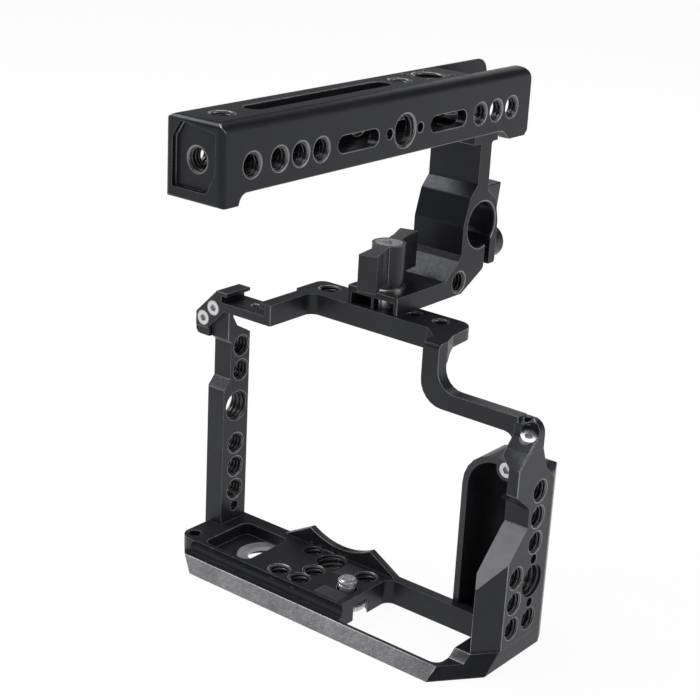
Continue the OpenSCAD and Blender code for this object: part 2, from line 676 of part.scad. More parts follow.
module base_cuts() {
    // slanted strip along the rear foot and slanted facet at the right corner
    along_x(left_x - over, right_x + over) polygon([[rear_foot_y, 0], strip_top,
        [strip_top[0], strip_top[1] + over], [rear_foot_y - over, strip_top[1] + over],
        [rear_foot_y - over, 0]]);
    intersection() {
        beyond([facet_left_x, rear_foot_y, 0], left_facet_turn, left_facet_tilt);
        translate([base_left_x - over, rear_foot_y - over, -over])
            cube([facet_left_x - base_left_x + 2 * over, facet_left_y - rear_foot_y, base_h + over]);
    }
    intersection() {
        beyond([right_x, base_facet_y, seam_z], facet_turn, facet_tilt);
        translate([facet_left_x, rear_foot_y - over, -over]) cube([far * 2, -rear_foot_y, base_h + over]);
    }
    // window with its floor ring
    along_z(window_floor, base_h + over) polygon(soft([[window_x[0], window_y[0], window_r],
        [window_x[1], window_y[0], window_r], [window_x[1], window_y[1], window_r],
        [window_x[0], window_y[1], window_r]]));
    translate([ring_mid[0], ring_mid[1], 0]) drill(ring_r[0] + hairline, window_floor - over);
    // camera screw, its recess, and the rubber pads
    translate([screw_at[0], screw_at[1], 0]) {
        drill(screw_head_r[1], deck_low_z - over);
        drill(quarter_r, base_h);
    }
    pad_blocks(over);
    // deck holes
    for (i = [0, 1]) down([deck_left_x[i], deck_left_y[i], base_h]) through_hole(quarter_r, base_h);
    for (i = [1, 2]) down([deck_mid_x, deck_mid_y[i], base_h]) through_hole(quarter_r, base_h);
    down([deck_mid_x, deck_mid_y[0], base_h]) through_hole(three_eighths_r, base_h);
    down([deck_right[0], deck_right[1], base_h]) through_hole(quarter_r, base_h);
    translate([ear_hole[0], ear_hole[1], 0]) drill(ear_hole_r, base_h);
    // screws from below into the side plate and the grip shell, and the dowels
    for (p = side_screw_at) translate([p[0], p[1], 0]) drill(fixing_r + hairline, seam_z);
    for (p = side_screw_at) translate([p[0], p[1], 0]) screw_hole(fixing_head, fixing_r, seam_z, 0);
    for (p = dowel_at) translate([p[0], p[1], dowel_z[0]]) cylinder(r = dowel_r, h = far);
    translate([shell_boss[0], shell_boss[1], 0]) drill(fixing_r + hairline, seam_z);
    translate([shell_boss[0], shell_boss[1], 0]) screw_hole(fixing_head, fixing_r, seam_z, 0);
    // corner screws
    for (i = [0, 1]) to_y([corner_screw_x[i], tab_front_y - over, corner_screw_z[i]])
        drill(small_screw_r + hairline, flange_t);
    along_y(column_y[0] - over, tab_front_y) tab_outline();
    column_holes();
}

module base_frame() color(black) difference() {
    base_body();
    base_cuts();
}

module pad_blocks(extra) {
    translate([pad_a[0] - pad_w[0] / 2, pad_a[1] - pad_l[0] / 2, base_h - pad_t])
        cube([pad_w[0], pad_l[0], pad_t + extra]);
    translate([pad_b[0] - pad_w[1] / 2, pad_b[1] - pad_l[1] / 2, base_h - pad_t])
        cube([pad_w[1], pad_l[1], pad_t + extra]);
}

module rubber_pads() color("#202022") pad_blocks(0);

module window_ring() color(steel) translate([ring_mid[0], ring_mid[1], window_floor - ring_t]) difference() {
    cylinder(r = ring_r[0], h = ring_t);
    drill(ring_r[1], ring_t);
}

module camera_screw() color(steel) translate([screw_at[0], screw_at[1], 0]) difference() {
    head_z = deck_low_z - screw_washer_t - screw_head_h;
    union() {
        translate([0, 0, head_z]) cylinder(r = screw_head_r[0], h = screw_head_h);
        translate([0, 0, head_z]) cylinder(r = screw_neck_r, h = base_h + screw_out - head_z);
        translate([0, 0, base_h + neck_rise]) cylinder(r = screw_r, h = screw_out - neck_rise);
    }
    translate([-screw_head_r[1], -screw_slot[0] / 2, head_z - over])
        cube([2 * screw_head_r[1], screw_slot[0], screw_slot[1] + over]);
}

module camera_screw_washer() color(steel)
    translate([screw_at[0], screw_at[1], deck_low_z - screw_washer_t]) difference() {
        cylinder(r = screw_washer_r, h = screw_washer_t);
        drill(screw_neck_r + run_gap, screw_washer_t);
    }

// Bent arm seen along Y: down from the bar, round the bend and along to the end block
module arm_outline() polygon(soft([[arm_x[0], bar_z[1] - over, 0], [arm_x[0], arm_z[0], arm_bend_r[0]],
    [end_left_x + over, arm_z[0], 0], [end_left_x + over, arm_z[1], 0], [arm_x[1], arm_z[1], arm_bend_r[1]],
    [arm_x[1], bar_z[1] - over, 0]]));

module top_bar_body() {
    // corner tab and cold shoe
    along_y(column_y[0], tab_front_y) tab_outline();
    along_y(column_y[0], shoe_front_y) polygon([[shoe_left_x, bar_z[0]], [leg_x[1], bar_z[0]],
        [leg_x[1], bar_z[1]], [shoe_x[1] - shoe_lip, bar_z[1]], [shoe_x[1] - shoe_lip, shoe_z[1]],
        [shoe_x[1], shoe_z[1]], [shoe_x[1], shoe_z[0]], [shoe_x[0], shoe_z[0]],
        [shoe_x[0], shoe_z[1]], [shoe_x[0] + shoe_lip, shoe_z[1]], [shoe_x[0] + shoe_lip, shoe_top_z],
        [shoe_left_x, shoe_top_z]]);
    // leg, bar and the wide right end
    along_z(bar_z[0], bar_z[1]) polygon(soft([[leg_x[1], shoe_front_y - over, 0],
        [leg_x[1], bar_y[0], opening_r], [arm_x[0] - bar_end_r, bar_y[0], opening_r],
        [arm_x[0] - edge_r, arm_rear_y + bar_end_r, 2 * edge_r], [arm_x[0], arm_rear_y, 0],
        [arm_x[1], arm_rear_y, 0], [arm_x[1], arm_rear_y + arm_t, edge_r / 2],
        [bar_right_x + edge_r, arm_rear_y + bar_end_r + arm_t, opening_r],
        [bar_right_x, bar_y[1], bar_end_r],
        [bar_left_x, bar_y[1], opening_r], [bar_left_x, bar_y[0], edge_r],
        [leg_x[0], bar_y[0] - 2 * edge_r, edge_r], [leg_x[0], shoe_front_y - over, 0]]));
    // drop arm, level arm and end block
    along_y(arm_rear_y, arm_rear_y + arm_t) arm_outline();
    intersection() {
        along_x(end_left_x, right_x) polygon(soft([[end_y[1], end_seam_z, 0], [end_y[0], end_seam_z, 0],
            [end_y[0] + end_slant, end_seam_z + end_slant, edge_r],
            [end_y[0] + end_slant, arm_z[1] - end_fall[0], edge_r / 2],
            [end_y[0] + end_slant + end_fall[1], arm_z[1], edge_r], [end_y[1], arm_z[1], edge_r / 2]]));
        along_y(end_y[0] - over, end_y[1]) polygon(soft([[end_left_x, end_seam_z, 0],
            [end_left_x, arm_z[1], 0], [right_x, arm_z[1], end_r], [right_x, end_seam_z, 0]]));
    }
    along_y(end_y[0] + end_slant, end_y[1]) translate([end_left_x, arm_z[0]]) rotate(180) web(opening_r);
}

// Place of the end block's screw, whose shank runs along Z
module end_screw_place() translate(end_screw) rotate([0, 90 - end_tilt, end_turn])
    rotate([180, 0, 0]) children();

// Chamfer between the slanted rear face and the right face of the side plate and the end block
module slant_strip(z0, z1) intersection() {
    beyond([right_x, tab_rear_y + end_strip, tab_slant_z], strip_turn, strip_tilt);
    along_z(z0, z1) translate([end_left_x, tab_rear_y - over]) square([far, -tab_rear_y]);
}

module top_bar() color(black) difference() {
    top_bar_body();
    // rolled edge over the arm, and the rising underside of the right end
    difference() {
        along_x(arm_x[0] - bar_end_r, arm_x[1] + over) translate([arm_rear_y, bar_z[1]]) mirror([0, 1])
            web(roll_r);
        along_z(bar_z[0], bar_z[1]) translate([arm_x[0] - bar_end_r - over, bar_y[0]]) square(far);
    }
    difference() {
        along_y(arm_rear_y + arm_t, bar_y[1] + over) polygon([[arm_x[0] - bar_end_r, bar_z[0] - over],
            [arm_x[0] - bar_end_r, bar_z[0]], [bar_right_x, bar_end_z], [arm_x[1] + over, bar_end_z],
            [arm_x[1] + over, bar_z[0] - over]]);
        along_x(arm_x[0] - bar_end_r, arm_x[1] + over) translate([arm_rear_y + arm_t, bar_end_z])
            mirror([0, 1]) web(arm_bend_r[1]);
    }
    // holes along the bar and in the shoe
    down([bar_hole_x[0], bar_hole_y, bar_z[1]]) through_hole(quarter_r, bar_z[1] - bar_z[0]);
    down([axis_x, foot_knob_y, bar_z[1]]) through_hole(quarter_r, bar_z[1] - bar_z[0]);
    for (i = [1, 2]) down([bar_hole_x[i], bar_hole_y, bar_z[1]])
        through_hole(bar_small_r, bar_z[1] - bar_z[0]);
    down([(shoe_x[0] + shoe_x[1]) / 2, column_hole_y[0], shoe_z[0]])
        blind_hole(end_hole_r, 2 * edge_r);
    // corner screws
    for (i = [0, 1]) to_y([corner_screw_x[i], column_y[0], corner_screw_z[i]])
        screw_hole(small_head, small_screw_r, tab_t + flange_t, 0);
    // end block: chamfer, sunk screw and small hole
    slant_strip(end_seam_z - over, end_seam_z + end_slant);
    end_screw_place() {
        translate([0, 0, -far]) cylinder(r = counterbore_r, h = far);
        screw_hole(small_head, small_screw_r, far, 0);
    }
    down([end_hole[0], end_hole[1], arm_z[1]]) blind_hole(end_hole_r, 2 * edge_r);
}

// Lug of the side plate behind the grip shell's screw, grown by d where the shell makes room for it
module plate_lug(d) translate([0, shell_rear_y + shell_lug_l, 0]) {
    to_y([shell_screw[0], 0, shell_screw[1]]) cylinder(r = plate_lug_r + d, h = plate_lug_l + d);
    translate([shell_screw[0], 0, shell_screw[1] - plate_lug_r - d])
        cube([plate_in_x + over - shell_screw[0], plate_lug_l + d, 2 * (plate_lug_r + d)]);
}

module right_side_plate() color(black) difference() {
    union() {
        difference() {
            along_x(plate_in_x, right_x) plate_outline();
            along_y(grip_rear_y - over, recess_y) polygon([[plate_in_x - over, tab_cut_z],
                [plate_tab_x, tab_cut_z], [plate_tab_x, tab_slant_z], [end_left_x, tab_step_z],
                [end_left_x, far], [plate_in_x - over, far]]);
        }
        plate_lug(0);
    }
    // slanted corners of the grip block in plan
    along_z(seam_z - over, ledge_z[1] + over) {
        polygon([[right_x, facet_y], [grip_tip_x, grip_rear_y], [grip_tip_x, grip_rear_y - over],
            [right_x + over, grip_rear_y - over], [right_x + over, facet_y]]);
        polygon([[plate_in_x, grip_in_y], [grip_tip_x, grip_rear_y], [grip_tip_x, grip_rear_y - over],
            [plate_in_x - over, grip_rear_y - over], [plate_in_x - over, grip_in_y]]);
    }
    // tapped holes in two columns and the stepped large hole between its locating holes
    l = right_x - plate_in_x;
    for (i = [0 : 2]) from_x([right_x, plate_hole_y[0], plate_top_z + i * hole_pitch])
        through_hole(quarter_r, l);
    for (i = [0 : 2]) from_x([right_x, plate_hole_y[1], plate_low_z + i * hole_pitch])
        through_hole(quarter_r, l);
    from_x([right_x, plate_hole_y[0], plate_low_z]) through_hole(quarter_r, l);
    from_x([right_x, plate_hole_y[0], plate_mid_z]) {
        through_hole(three_eighths_r, l);
        translate([0, 0, -over]) cylinder(r = plate_step[0], h = plate_step[1] + over);
    }
    for (side = [-1, 1]) from_x([right_x, plate_hole_y[0], plate_mid_z + side * plate_pin_step])
        translate([0, 0, -over]) cylinder(r = locating_r, h = opening_r + over);
    // screws and dowels from below, the shell's screw and the corner screw
    for (p = side_screw_at) translate([p[0], p[1], seam_z - over])
        cylinder(r = fixing_r + hairline, h = fixing_l - seam_z + over);
    for (p = dowel_at) translate([p[0], p[1], seam_z - over])
        cylinder(r = dowel_r, h = dowel_z[1] - seam_z + over);
    to_y([shell_screw[0], shell_rear_y, shell_screw[1]]) drill(small_screw_r + hairline, far);
    end_screw_place() cylinder(r = small_screw_r + hairline, h = end_screw_l + over);
    slant_strip(tab_slant_z, end_seam_z + over);
}

module grip_shell() color("#1d1d1f") difference() {
    union() {
        difference() {
            shell_solid(0);
            shell_solid(shell_t);
        }
        intersection() {
            shell_solid(0);
            union() {
                to_y([shell_screw[0], shell_rear_y, shell_screw[1]])
                    cylinder(r = shell_boss_r, h = shell_lug_l);
                translate([shell_screw[0] - shell_boss_r, shell_rear_y, shell_screw[1]])
                    cube([2 * shell_boss_r, shell_lug_l, far]);
                translate([shell_boss[0], shell_boss[1], seam_z]) cylinder(r = shell_boss_r, h = shell_lug_h);
                translate([shell_boss[0] - shell_boss_r, shell_boss[1], seam_z])
                    cube([2 * shell_boss_r, far, shell_lug_h]);
            }
        }
    }
    along_x(plate_in_x, right_x + over) plate_outline();
    plate_lug(hairline);
    translate([shell_left_x - over, shell_rear_y - over, 0])
        cube([far, deck_front_y - shell_rear_y + over, base_h]);
    to_y([shell_screw[0], shell_rear_y, shell_screw[1]])
        screw_hole(small_head, small_screw_r, shell_lug_l + plate_lug_l, 0);
    translate([shell_boss[0], shell_boss[1], 0]) cylinder(r = fixing_r + hairline, h = fixing_l);
}

module left_corner_screws() color(steel) for (i = [0, 1])
    to_y([corner_screw_x[i], column_y[0], corner_screw_z[i]])
        socket_screw(small_head, small_screw_r, tab_t + flange_t - over);

module right_corner_screw() color(steel) end_screw_place()
    socket_screw(small_head, small_screw_r, end_screw_l);

module grip_shell_screw() color(steel) to_y([shell_screw[0], shell_rear_y, shell_screw[1]])
    socket_screw(small_head, small_screw_r, shell_lug_l + plate_lug_l - over);

module grip_shell_base_screw() color(steel) translate([shell_boss[0], shell_boss[1], 0])
    socket_screw(fixing_head, fixing_r, fixing_l - over);

module side_plate_screws() color(steel) for (p = side_screw_at) translate([p[0], p[1], 0])
    socket_screw(fixing_head, fixing_r, fixing_l - over);

module side_plate_dowels() color(steel) for (p = dowel_at) translate([p[0], p[1], dowel_z[0]])
    cylinder(r = dowel_r, h = dowel_z[1] - dowel_z[0]);

module handle_side() polygon(soft([[handle_y[0], handle_z[0], edge_r],
    [top_hole_y[0] - handle_t[1], handle_z[0], 0],
    [top_hole_y[0] - opening_r, handle_z[1], opening_r], [post_head_y[1] + edge_r, handle_z[1], opening_r],
    [post_head_y[1] + handle_t[1] + edge_r, handle_z[0], 0],
    [handle_y[1] - opening_r / 2, handle_z[0], 0], [handle_y[1], handle_z[0] + opening_r / 2, 0],
    [handle_y[1], handle_z[2], handle_nose_r], [handle_y[0], handle_z[2], handle_rear_r]]));

module handle_section() polygon(soft([[handle_x[0], handle_z[0] - over, 0],
    [handle_x[0], handle_z[2], handle_edge_r], [handle_x[1], handle_z[2], handle_edge_r],
    [handle_x[1], handle_z[0] - over, 0]]));

module handle_side_holes() {
    l = 2 * handle_half;
    rows = [for (i = [0 : 2]) each
        [handle_side_y[1] + i * handle_pitch, handle_side_y[2] + i * handle_pitch]];
    for (y = concat(rows, handle_side_y[0])) {
        to_x([handle_x[0], y, handle_hole_z]) blind_hole(quarter_r, handle_t[0] + over);
        from_x([handle_x[1], y, handle_hole_z]) blind_hole(quarter_r, handle_t[0] + over);
    }
    to_x([handle_x[0], side_mid_y, handle_hole_z]) through_hole(three_eighths_r, l);
    for (k = [-1, 1]) to_x([handle_x[0], side_mid_y + k * side_pin_step, handle_hole_z])
        drill(locating_r, l);
    for (y = side_slot_y) along_x(handle_x[0] - over, handle_x[1] + over)
        translate([y + side_slot[1] / 2, handle_hole_z]) slot_outline(side_slot[0], side_slot[1]);
}

module handle_bar() color(black) difference() {
    intersection() {
        along_x(handle_x[0], handle_x[1]) handle_side();
        along_y(handle_y[0], handle_y[1]) handle_section();
        along_z(handle_z[0], handle_z[2]) polygon(soft([[handle_x[0], handle_y[0], handle_rear_r],
            [handle_x[0], handle_y[1], 0], [handle_x[1], handle_y[1], 0],
            [handle_x[1], handle_y[0], handle_rear_r]]));
    }
    // hollow over the floor and the web on the post, and the open front between the walls
    along_x(handle_x[0] + handle_t[0], handle_x[1] - handle_t[0]) {
        polygon([[handle_y[0] + handle_end_l, handle_z[1] + handle_floor_t],
            [post_head_y[0], handle_z[1] + handle_floor_t], [post_head_y[0], web_top_z], [post_head_y[1], web_top_z],
            [post_head_y[1], handle_z[0] - over], [handle_y[1] + over, handle_z[0] - over],
            [handle_y[1] + over, handle_z[2] - handle_t[1]],
            [handle_y[0] + handle_end_l, handle_z[2] - handle_t[1]]]);
    }
    translate([handle_x[0] + handle_t[0], handle_top_y, web_top_z])
        cube([2 * (handle_half - handle_t[0]), far, far]);
    // pocket and tapped hole in the rear end
    along_y(handle_y[0] - over, handle_y[0] + handle_pocket[1]) polygon([
        [axis_x - handle_pocket[0] / 2, handle_z[1]],
        [axis_x + handle_pocket[0] / 2 - opening_r, handle_z[1]],
        [axis_x + handle_pocket[0] / 2, handle_z[1] + 2 * opening_r],
        [axis_x + handle_pocket[0] / 2, handle_z[2] - opening_r],
        [axis_x - handle_pocket[0] / 2 + opening_r, handle_z[2] - opening_r / 2],
        [axis_x - handle_pocket[0] / 2, handle_z[2] - 2 * opening_r]]);
    to_y([axis_x, handle_y[0] + handle_pocket[1], handle_hole_z + edge_r])
        through_hole(quarter_r, handle_end_l - handle_pocket[1]);
    // top: tapped holes, slot, and the large hole with four small ones
    for (i = [0, 1]) down([axis_x, top_hole_y[i], handle_z[2]]) through_hole(quarter_r, handle_t[1]);
    down([axis_x, top_hole_y[2], handle_z[2]]) through_hole(three_eighths_r, handle_t[1]);
    for (i = [-1, 1]) for (k = [-1, 1])
        down([axis_x + i * top_pin_step[0], top_hole_y[2] + k * top_pin_step[1], handle_z[2]])
            drill(pin_r, handle_t[1]);
    along_z(handle_z[2] - handle_t[1] - over, handle_z[2] + over)
        translate([axis_x, top_slot_y[0] + top_slot_w / 2]) rotate(90)
            slot_outline(top_slot_y[1] - top_slot_y[0], top_slot_w);
    handle_side_holes();
    for (x = handle_screw_x) down([x, handle_screw_y, web_top_z])
        screw_hole(tapped_head, tapped_r, far, 0);
}

// Post, rod clamp and foot seen along X, drawn as Y and Z
module post_outline() {
    difference() {
        polygon(soft([[foot_y[0], bar_z[1], 0], [foot_y[0], foot_top_z, 0], [chamfer_y[0], foot_top_z, 0],
            [chamfer_y[1], foot_top_z + chamfer_h, edge_r],
            [rod_at[0] - barrel_r[0], foot_top_z + chamfer_h + 2 * edge_r, 0],
            [rod_at[0] - barrel_r[0], rod_at[1] + edge_r, opening_r + edge_r],
            [rod_at[0] - rod_r, rod_at[1] + barrel_r[0], opening_r],
            [post_y[0], rod_at[1] + 2 * rod_r - edge_r, edge_r],
            [post_y[0], handle_z[1] - post_head_t, edge_r],
            [post_head_y[0], handle_z[1] - post_head_t, 0], [post_head_y[0], handle_z[1], 0],
            [post_head_y[1], handle_z[1], 0], [post_head_y[1], handle_z[1] - post_head_t, 0],
            [post_y[1], handle_z[1] - post_head_t, edge_r],
            [post_y[1], rod_at[1] + barrel_r[0] + edge_r, edge_r],
            [rod_at[0] + rod_r, rod_at[1] + rod_r, opening_r],
            [jaw_y, rod_at[1], opening_r], [jaw_y, rod_at[1] - jaw_drop, edge_r],
            [rod_at[0] + slit_y[0], rod_at[1] - jaw_drop, 0],
            [rod_at[0] + body_low[0], bar_z[1] + body_low[1], 0],
            [foot_y[1], bar_z[1], 0]]));
        translate([rod_at[0] + slit_y[0], rod_at[1] - far]) square([slit_y[1] - slit_y[0], far]);
    }
}

module handle_post() color(black) difference() {
    along_x(foot_x[0], foot_x[1]) post_outline();
    to_x([foot_x[0], rod_at[0], rod_at[1]]) through_hole(rod_r, 2 * post_half);
    // pockets of the foot, open to the rear and below
    for (x = [foot_x[0] + foot_wall[0], axis_x + foot_wall[1] / 2])
        translate([x, foot_y[0] - over, bar_z[1] - over])
            cube([post_half - foot_wall[0] - foot_wall[1] / 2, foot_pocket_y - foot_y[0] + over,
                foot_h - foot_t + over]);
    translate([axis_x, foot_knob_y, bar_z[1] - over])
        cylinder(r = quarter_r + edge_r, h = foot_h - foot_t + over);
    translate([axis_x, foot_knob_y, bar_z[1]]) drill(quarter_r + hairline, foot_h);
    // tapped holes in the sides, the clamp screw's holes and the handle's screws
    from_x([foot_x[1], rod_at[0] + post_hole[0], rod_at[1] + post_hole[1]])
        blind_hole(quarter_r, post_hole_d);
    to_x([foot_x[0], rod_at[0] + post_hole[0], rod_at[1] + post_hole[1]])
        blind_hole(quarter_r, post_hole_d);
    to_y([axis_x, rod_at[0] - clamp_screw_back, clamp_z]) cylinder(r = clamp_r + run_gap, h = far);
    for (x = handle_screw_x) down([x, handle_screw_y, handle_z[1]])
        drill(tapped_r + hairline, handle_screw_l);
}

module handle_screws() color(steel) for (x = handle_screw_x) down([x, handle_screw_y, web_top_z])
    socket_screw(tapped_head, tapped_r, web_top_z - handle_screw_z);

// One wing of a knob in plan, from the middle out along X
module wing(l, t) polygon(soft([[0, -t[0] / 2, 0], [l * waist_share, -t[0] / 2, opening_r],
    [l, -t[1] / 2, edge_r / 2], [l, t[1] / 2, edge_r / 2], [l * waist_share, t[0] / 2, opening_r],
    [0, t[0] / 2, 0]]));

module foot_knob() color("#242426") translate([axis_x, foot_knob_y, 0]) difference() {
    union() {
        translate([0, 0, foot_floor_z]) cylinder(r = foot_hub_r, h = foot_knob_h);
        for (k = [0, 180]) rotate(90 + foot_wing_turn + k)
            along_z(foot_floor_z + wing_gap, foot_knob_z) wing(foot_wing_l, foot_wing_t);
    }
    translate([0, 0, foot_floor_z]) drill(screw_r + hairline, foot_knob_h);
    translate([0, 0, foot_knob_z - small_head[1]]) cylinder(r = foot_hub_r - knob_rim, h = far);
}

module foot_knob_screw() color(steel) down([axis_x, foot_knob_y, foot_knob_z])
    socket_screw([foot_hub_r - knob_rim - hairline, small_head[1]], screw_r,
        foot_knob_z - bar_z[0] - edge_r);

module foot_knob_washer() color(steel) translate([axis_x, foot_knob_y, foot_top_z]) difference() {
    cylinder(r = foot_washer_r, h = knob_washer_t);
    drill(screw_r + hairline, knob_washer_t);
}

module rod_clamp_knob() color("#242426") difference() {
    union() {
        to_y([axis_x, knob_floor_y, clamp_z]) cylinder(r = clamp_hub_r, h = clamp_knob_l);
        along_y(clamp_knob_y - clamp_wing_h, clamp_knob_y) translate([axis_x, clamp_z]) rotate(90)
            wing(clamp_wing_l, clamp_wing_t);
    }
    to_y([axis_x, knob_floor_y, clamp_z]) drill(clamp_r + hairline, clamp_knob_l);
    to_y([axis_x, clamp_knob_y - small_head[1], clamp_z]) cylinder(r = clamp_hub_r - clamp_rim, h = far);
}

module rod_clamp_screw() color(steel) from_y([axis_x, clamp_knob_y, clamp_z])
    socket_screw([clamp_hub_r - clamp_rim - hairline, small_head[1]], clamp_r,
        clamp_knob_y - rod_at[0] + clamp_screw_back - over);

module rod_clamp_washer() color(steel) to_y([axis_x, jaw_y, clamp_z]) difference() {
    cylinder(r = clamp_hub_r - knob_rim, h = knob_washer_t);
    drill(clamp_r + hairline, knob_washer_t);
}

base_frame();
top_bar();
right_side_plate();
grip_shell();
left_corner_screws();
right_corner_screw();
grip_shell_screw();
grip_shell_base_screw();
side_plate_screws();
side_plate_dowels();
camera_screw();
camera_screw_washer();
window_ring();
rubber_pads();
handle_bar();
handle_post();
handle_screws();
rod_clamp_knob();
rod_clamp_screw();
rod_clamp_washer();
foot_knob();
foot_knob_screw();
foot_knob_washer();
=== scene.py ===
"""Looks of the camera cage, in the CAD model's frame: edges, threads, finishes, studio and camera."""

from __future__ import annotations

import json
import logging
import math
from dataclasses import dataclass, field
from enum import Enum

import bmesh
import bpy
from mathutils import Matrix, Vector
from mathutils.bvhtree import BVHTree
from mathutils.geometry import area_tri

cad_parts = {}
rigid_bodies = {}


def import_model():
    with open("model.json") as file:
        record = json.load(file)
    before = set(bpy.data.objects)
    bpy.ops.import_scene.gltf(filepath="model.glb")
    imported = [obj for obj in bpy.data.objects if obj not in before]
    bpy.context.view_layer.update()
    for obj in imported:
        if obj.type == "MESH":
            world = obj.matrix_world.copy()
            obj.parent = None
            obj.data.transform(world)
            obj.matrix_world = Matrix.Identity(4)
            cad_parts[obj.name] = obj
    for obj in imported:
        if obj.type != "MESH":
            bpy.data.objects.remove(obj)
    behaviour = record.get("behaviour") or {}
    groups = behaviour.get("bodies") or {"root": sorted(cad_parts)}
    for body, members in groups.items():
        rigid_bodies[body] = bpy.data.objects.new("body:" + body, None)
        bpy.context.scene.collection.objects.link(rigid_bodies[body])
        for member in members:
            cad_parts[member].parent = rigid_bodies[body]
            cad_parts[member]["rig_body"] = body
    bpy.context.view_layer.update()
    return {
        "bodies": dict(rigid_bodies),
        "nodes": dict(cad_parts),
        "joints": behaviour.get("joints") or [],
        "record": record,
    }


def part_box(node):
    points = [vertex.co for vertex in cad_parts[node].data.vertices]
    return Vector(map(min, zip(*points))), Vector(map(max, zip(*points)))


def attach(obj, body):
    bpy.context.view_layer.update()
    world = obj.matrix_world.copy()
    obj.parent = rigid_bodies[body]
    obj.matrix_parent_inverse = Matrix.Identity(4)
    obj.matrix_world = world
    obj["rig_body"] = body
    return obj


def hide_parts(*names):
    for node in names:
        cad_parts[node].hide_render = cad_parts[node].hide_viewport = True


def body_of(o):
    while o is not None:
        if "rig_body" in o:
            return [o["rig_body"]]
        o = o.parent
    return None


LOG = logging.getLogger("camera_cage")
MM = 0.001
# Copies of the solids (in metres): merging distance, smallest edge, and the angle under which faces count
# as one plane.
MERGE_DISTANCE = 2e-6
SMALLEST_EDGE = 1e-6
PLANE_ANGLE = math.radians(0.6)
# Edges under these angles are shaded smooth, on castings and on the turned screw.
SMOOTH_ANGLE = math.radians(28)
TURNED_SMOOTH_ANGLE = math.radians(30)
# Material slots of a casting: its worn edges, whose lighter finish on the bevel faces is a painted
# highlight as well as wear, and the first of its accents. Slot 0 is the main finish.
WORN_HIGHLIGHT_SLOT = 1
ACCENT_SLOT = 2
# Shares of a bevel's full width, in the order they are tried.
BEVEL_SHARES = (1.0, 0.5)
# Tests of a bevel, in square metres: the most that the whole surface may grow, the smallest face that is
# tested, and how far a face's triangles may cover more than its area.
SURFACE_GROWTH = 5e-9
SMALLEST_FACE = 1e-10
CROSSING_AREA = 2e-10
CROSSING_SHARE = 1.002
# The least that a bevel's face must look the way of the surface under it.
FACING = 0.1
# How much the larger faces decide the shading of the smaller ones beside them.
FLAT_WEIGHT = 100
# Every finish: tint of its gloss, roughness of its coat, and its cloudy and fine patterns, with the part of
# each noise that is used and how far the fine one moves the roughness down and up.
SPECULAR_TINT = (0.92, 0.94, 1.0, 1.0)
COAT_ROUGHNESS = 0.25
CLOUD_SCALE = 90.0
FINE_SCALE = 700.0
NOISE_USED = (0.3, 0.7)
ROUGHNESS_MOVE = (0.05, 0.06)
# Worn edges with a painted highlight: edges are lightened as if they caught the light, partly real edge
# wear. Reach (m), the range of the bevelled normal's turn, and the fine noise that breaks them up.
WEAR_AND_HIGHLIGHT_REACH = 0.00035
WEAR_AND_HIGHLIGHT_TURN = (0.82, 0.99)
WEAR_AND_HIGHLIGHT_NOISE = (0.35, 0.6)
WEAR_AND_HIGHLIGHT_LEAST = 0.35
# Height of a full bump (m).
BUMP_HEIGHT = 0.0001
# Thread: steps of the helix for each turn, and sides of the ridge's section.
HELIX_STEPS = 28
RIDGE_SIDES = 4
Colour = tuple[float, float, float]
Point = tuple[float, float, float]


class Surface(Enum):
    """How a surface was worked, which decides the pattern of its bump."""

    BLASTED = "blasted"
    BRUSHED = "brushed"
    TURNED = "turned"
    HATCHED = "hatched"


class Axis(Enum):
    """Direction of a hole or screw, as the turn that takes +Z to it."""

    X = "x"
    Y = "y"
    Z = "z"

    def turn(self) -> Matrix:
        """Returns the rotation from +Z to this axis."""
        if self is Axis.X:
            return Matrix.Rotation(math.pi / 2, 4, "Y")
        if self is Axis.Y:
            return Matrix.Rotation(-math.pi / 2, 4, "X")
        return Matrix.Identity(4)


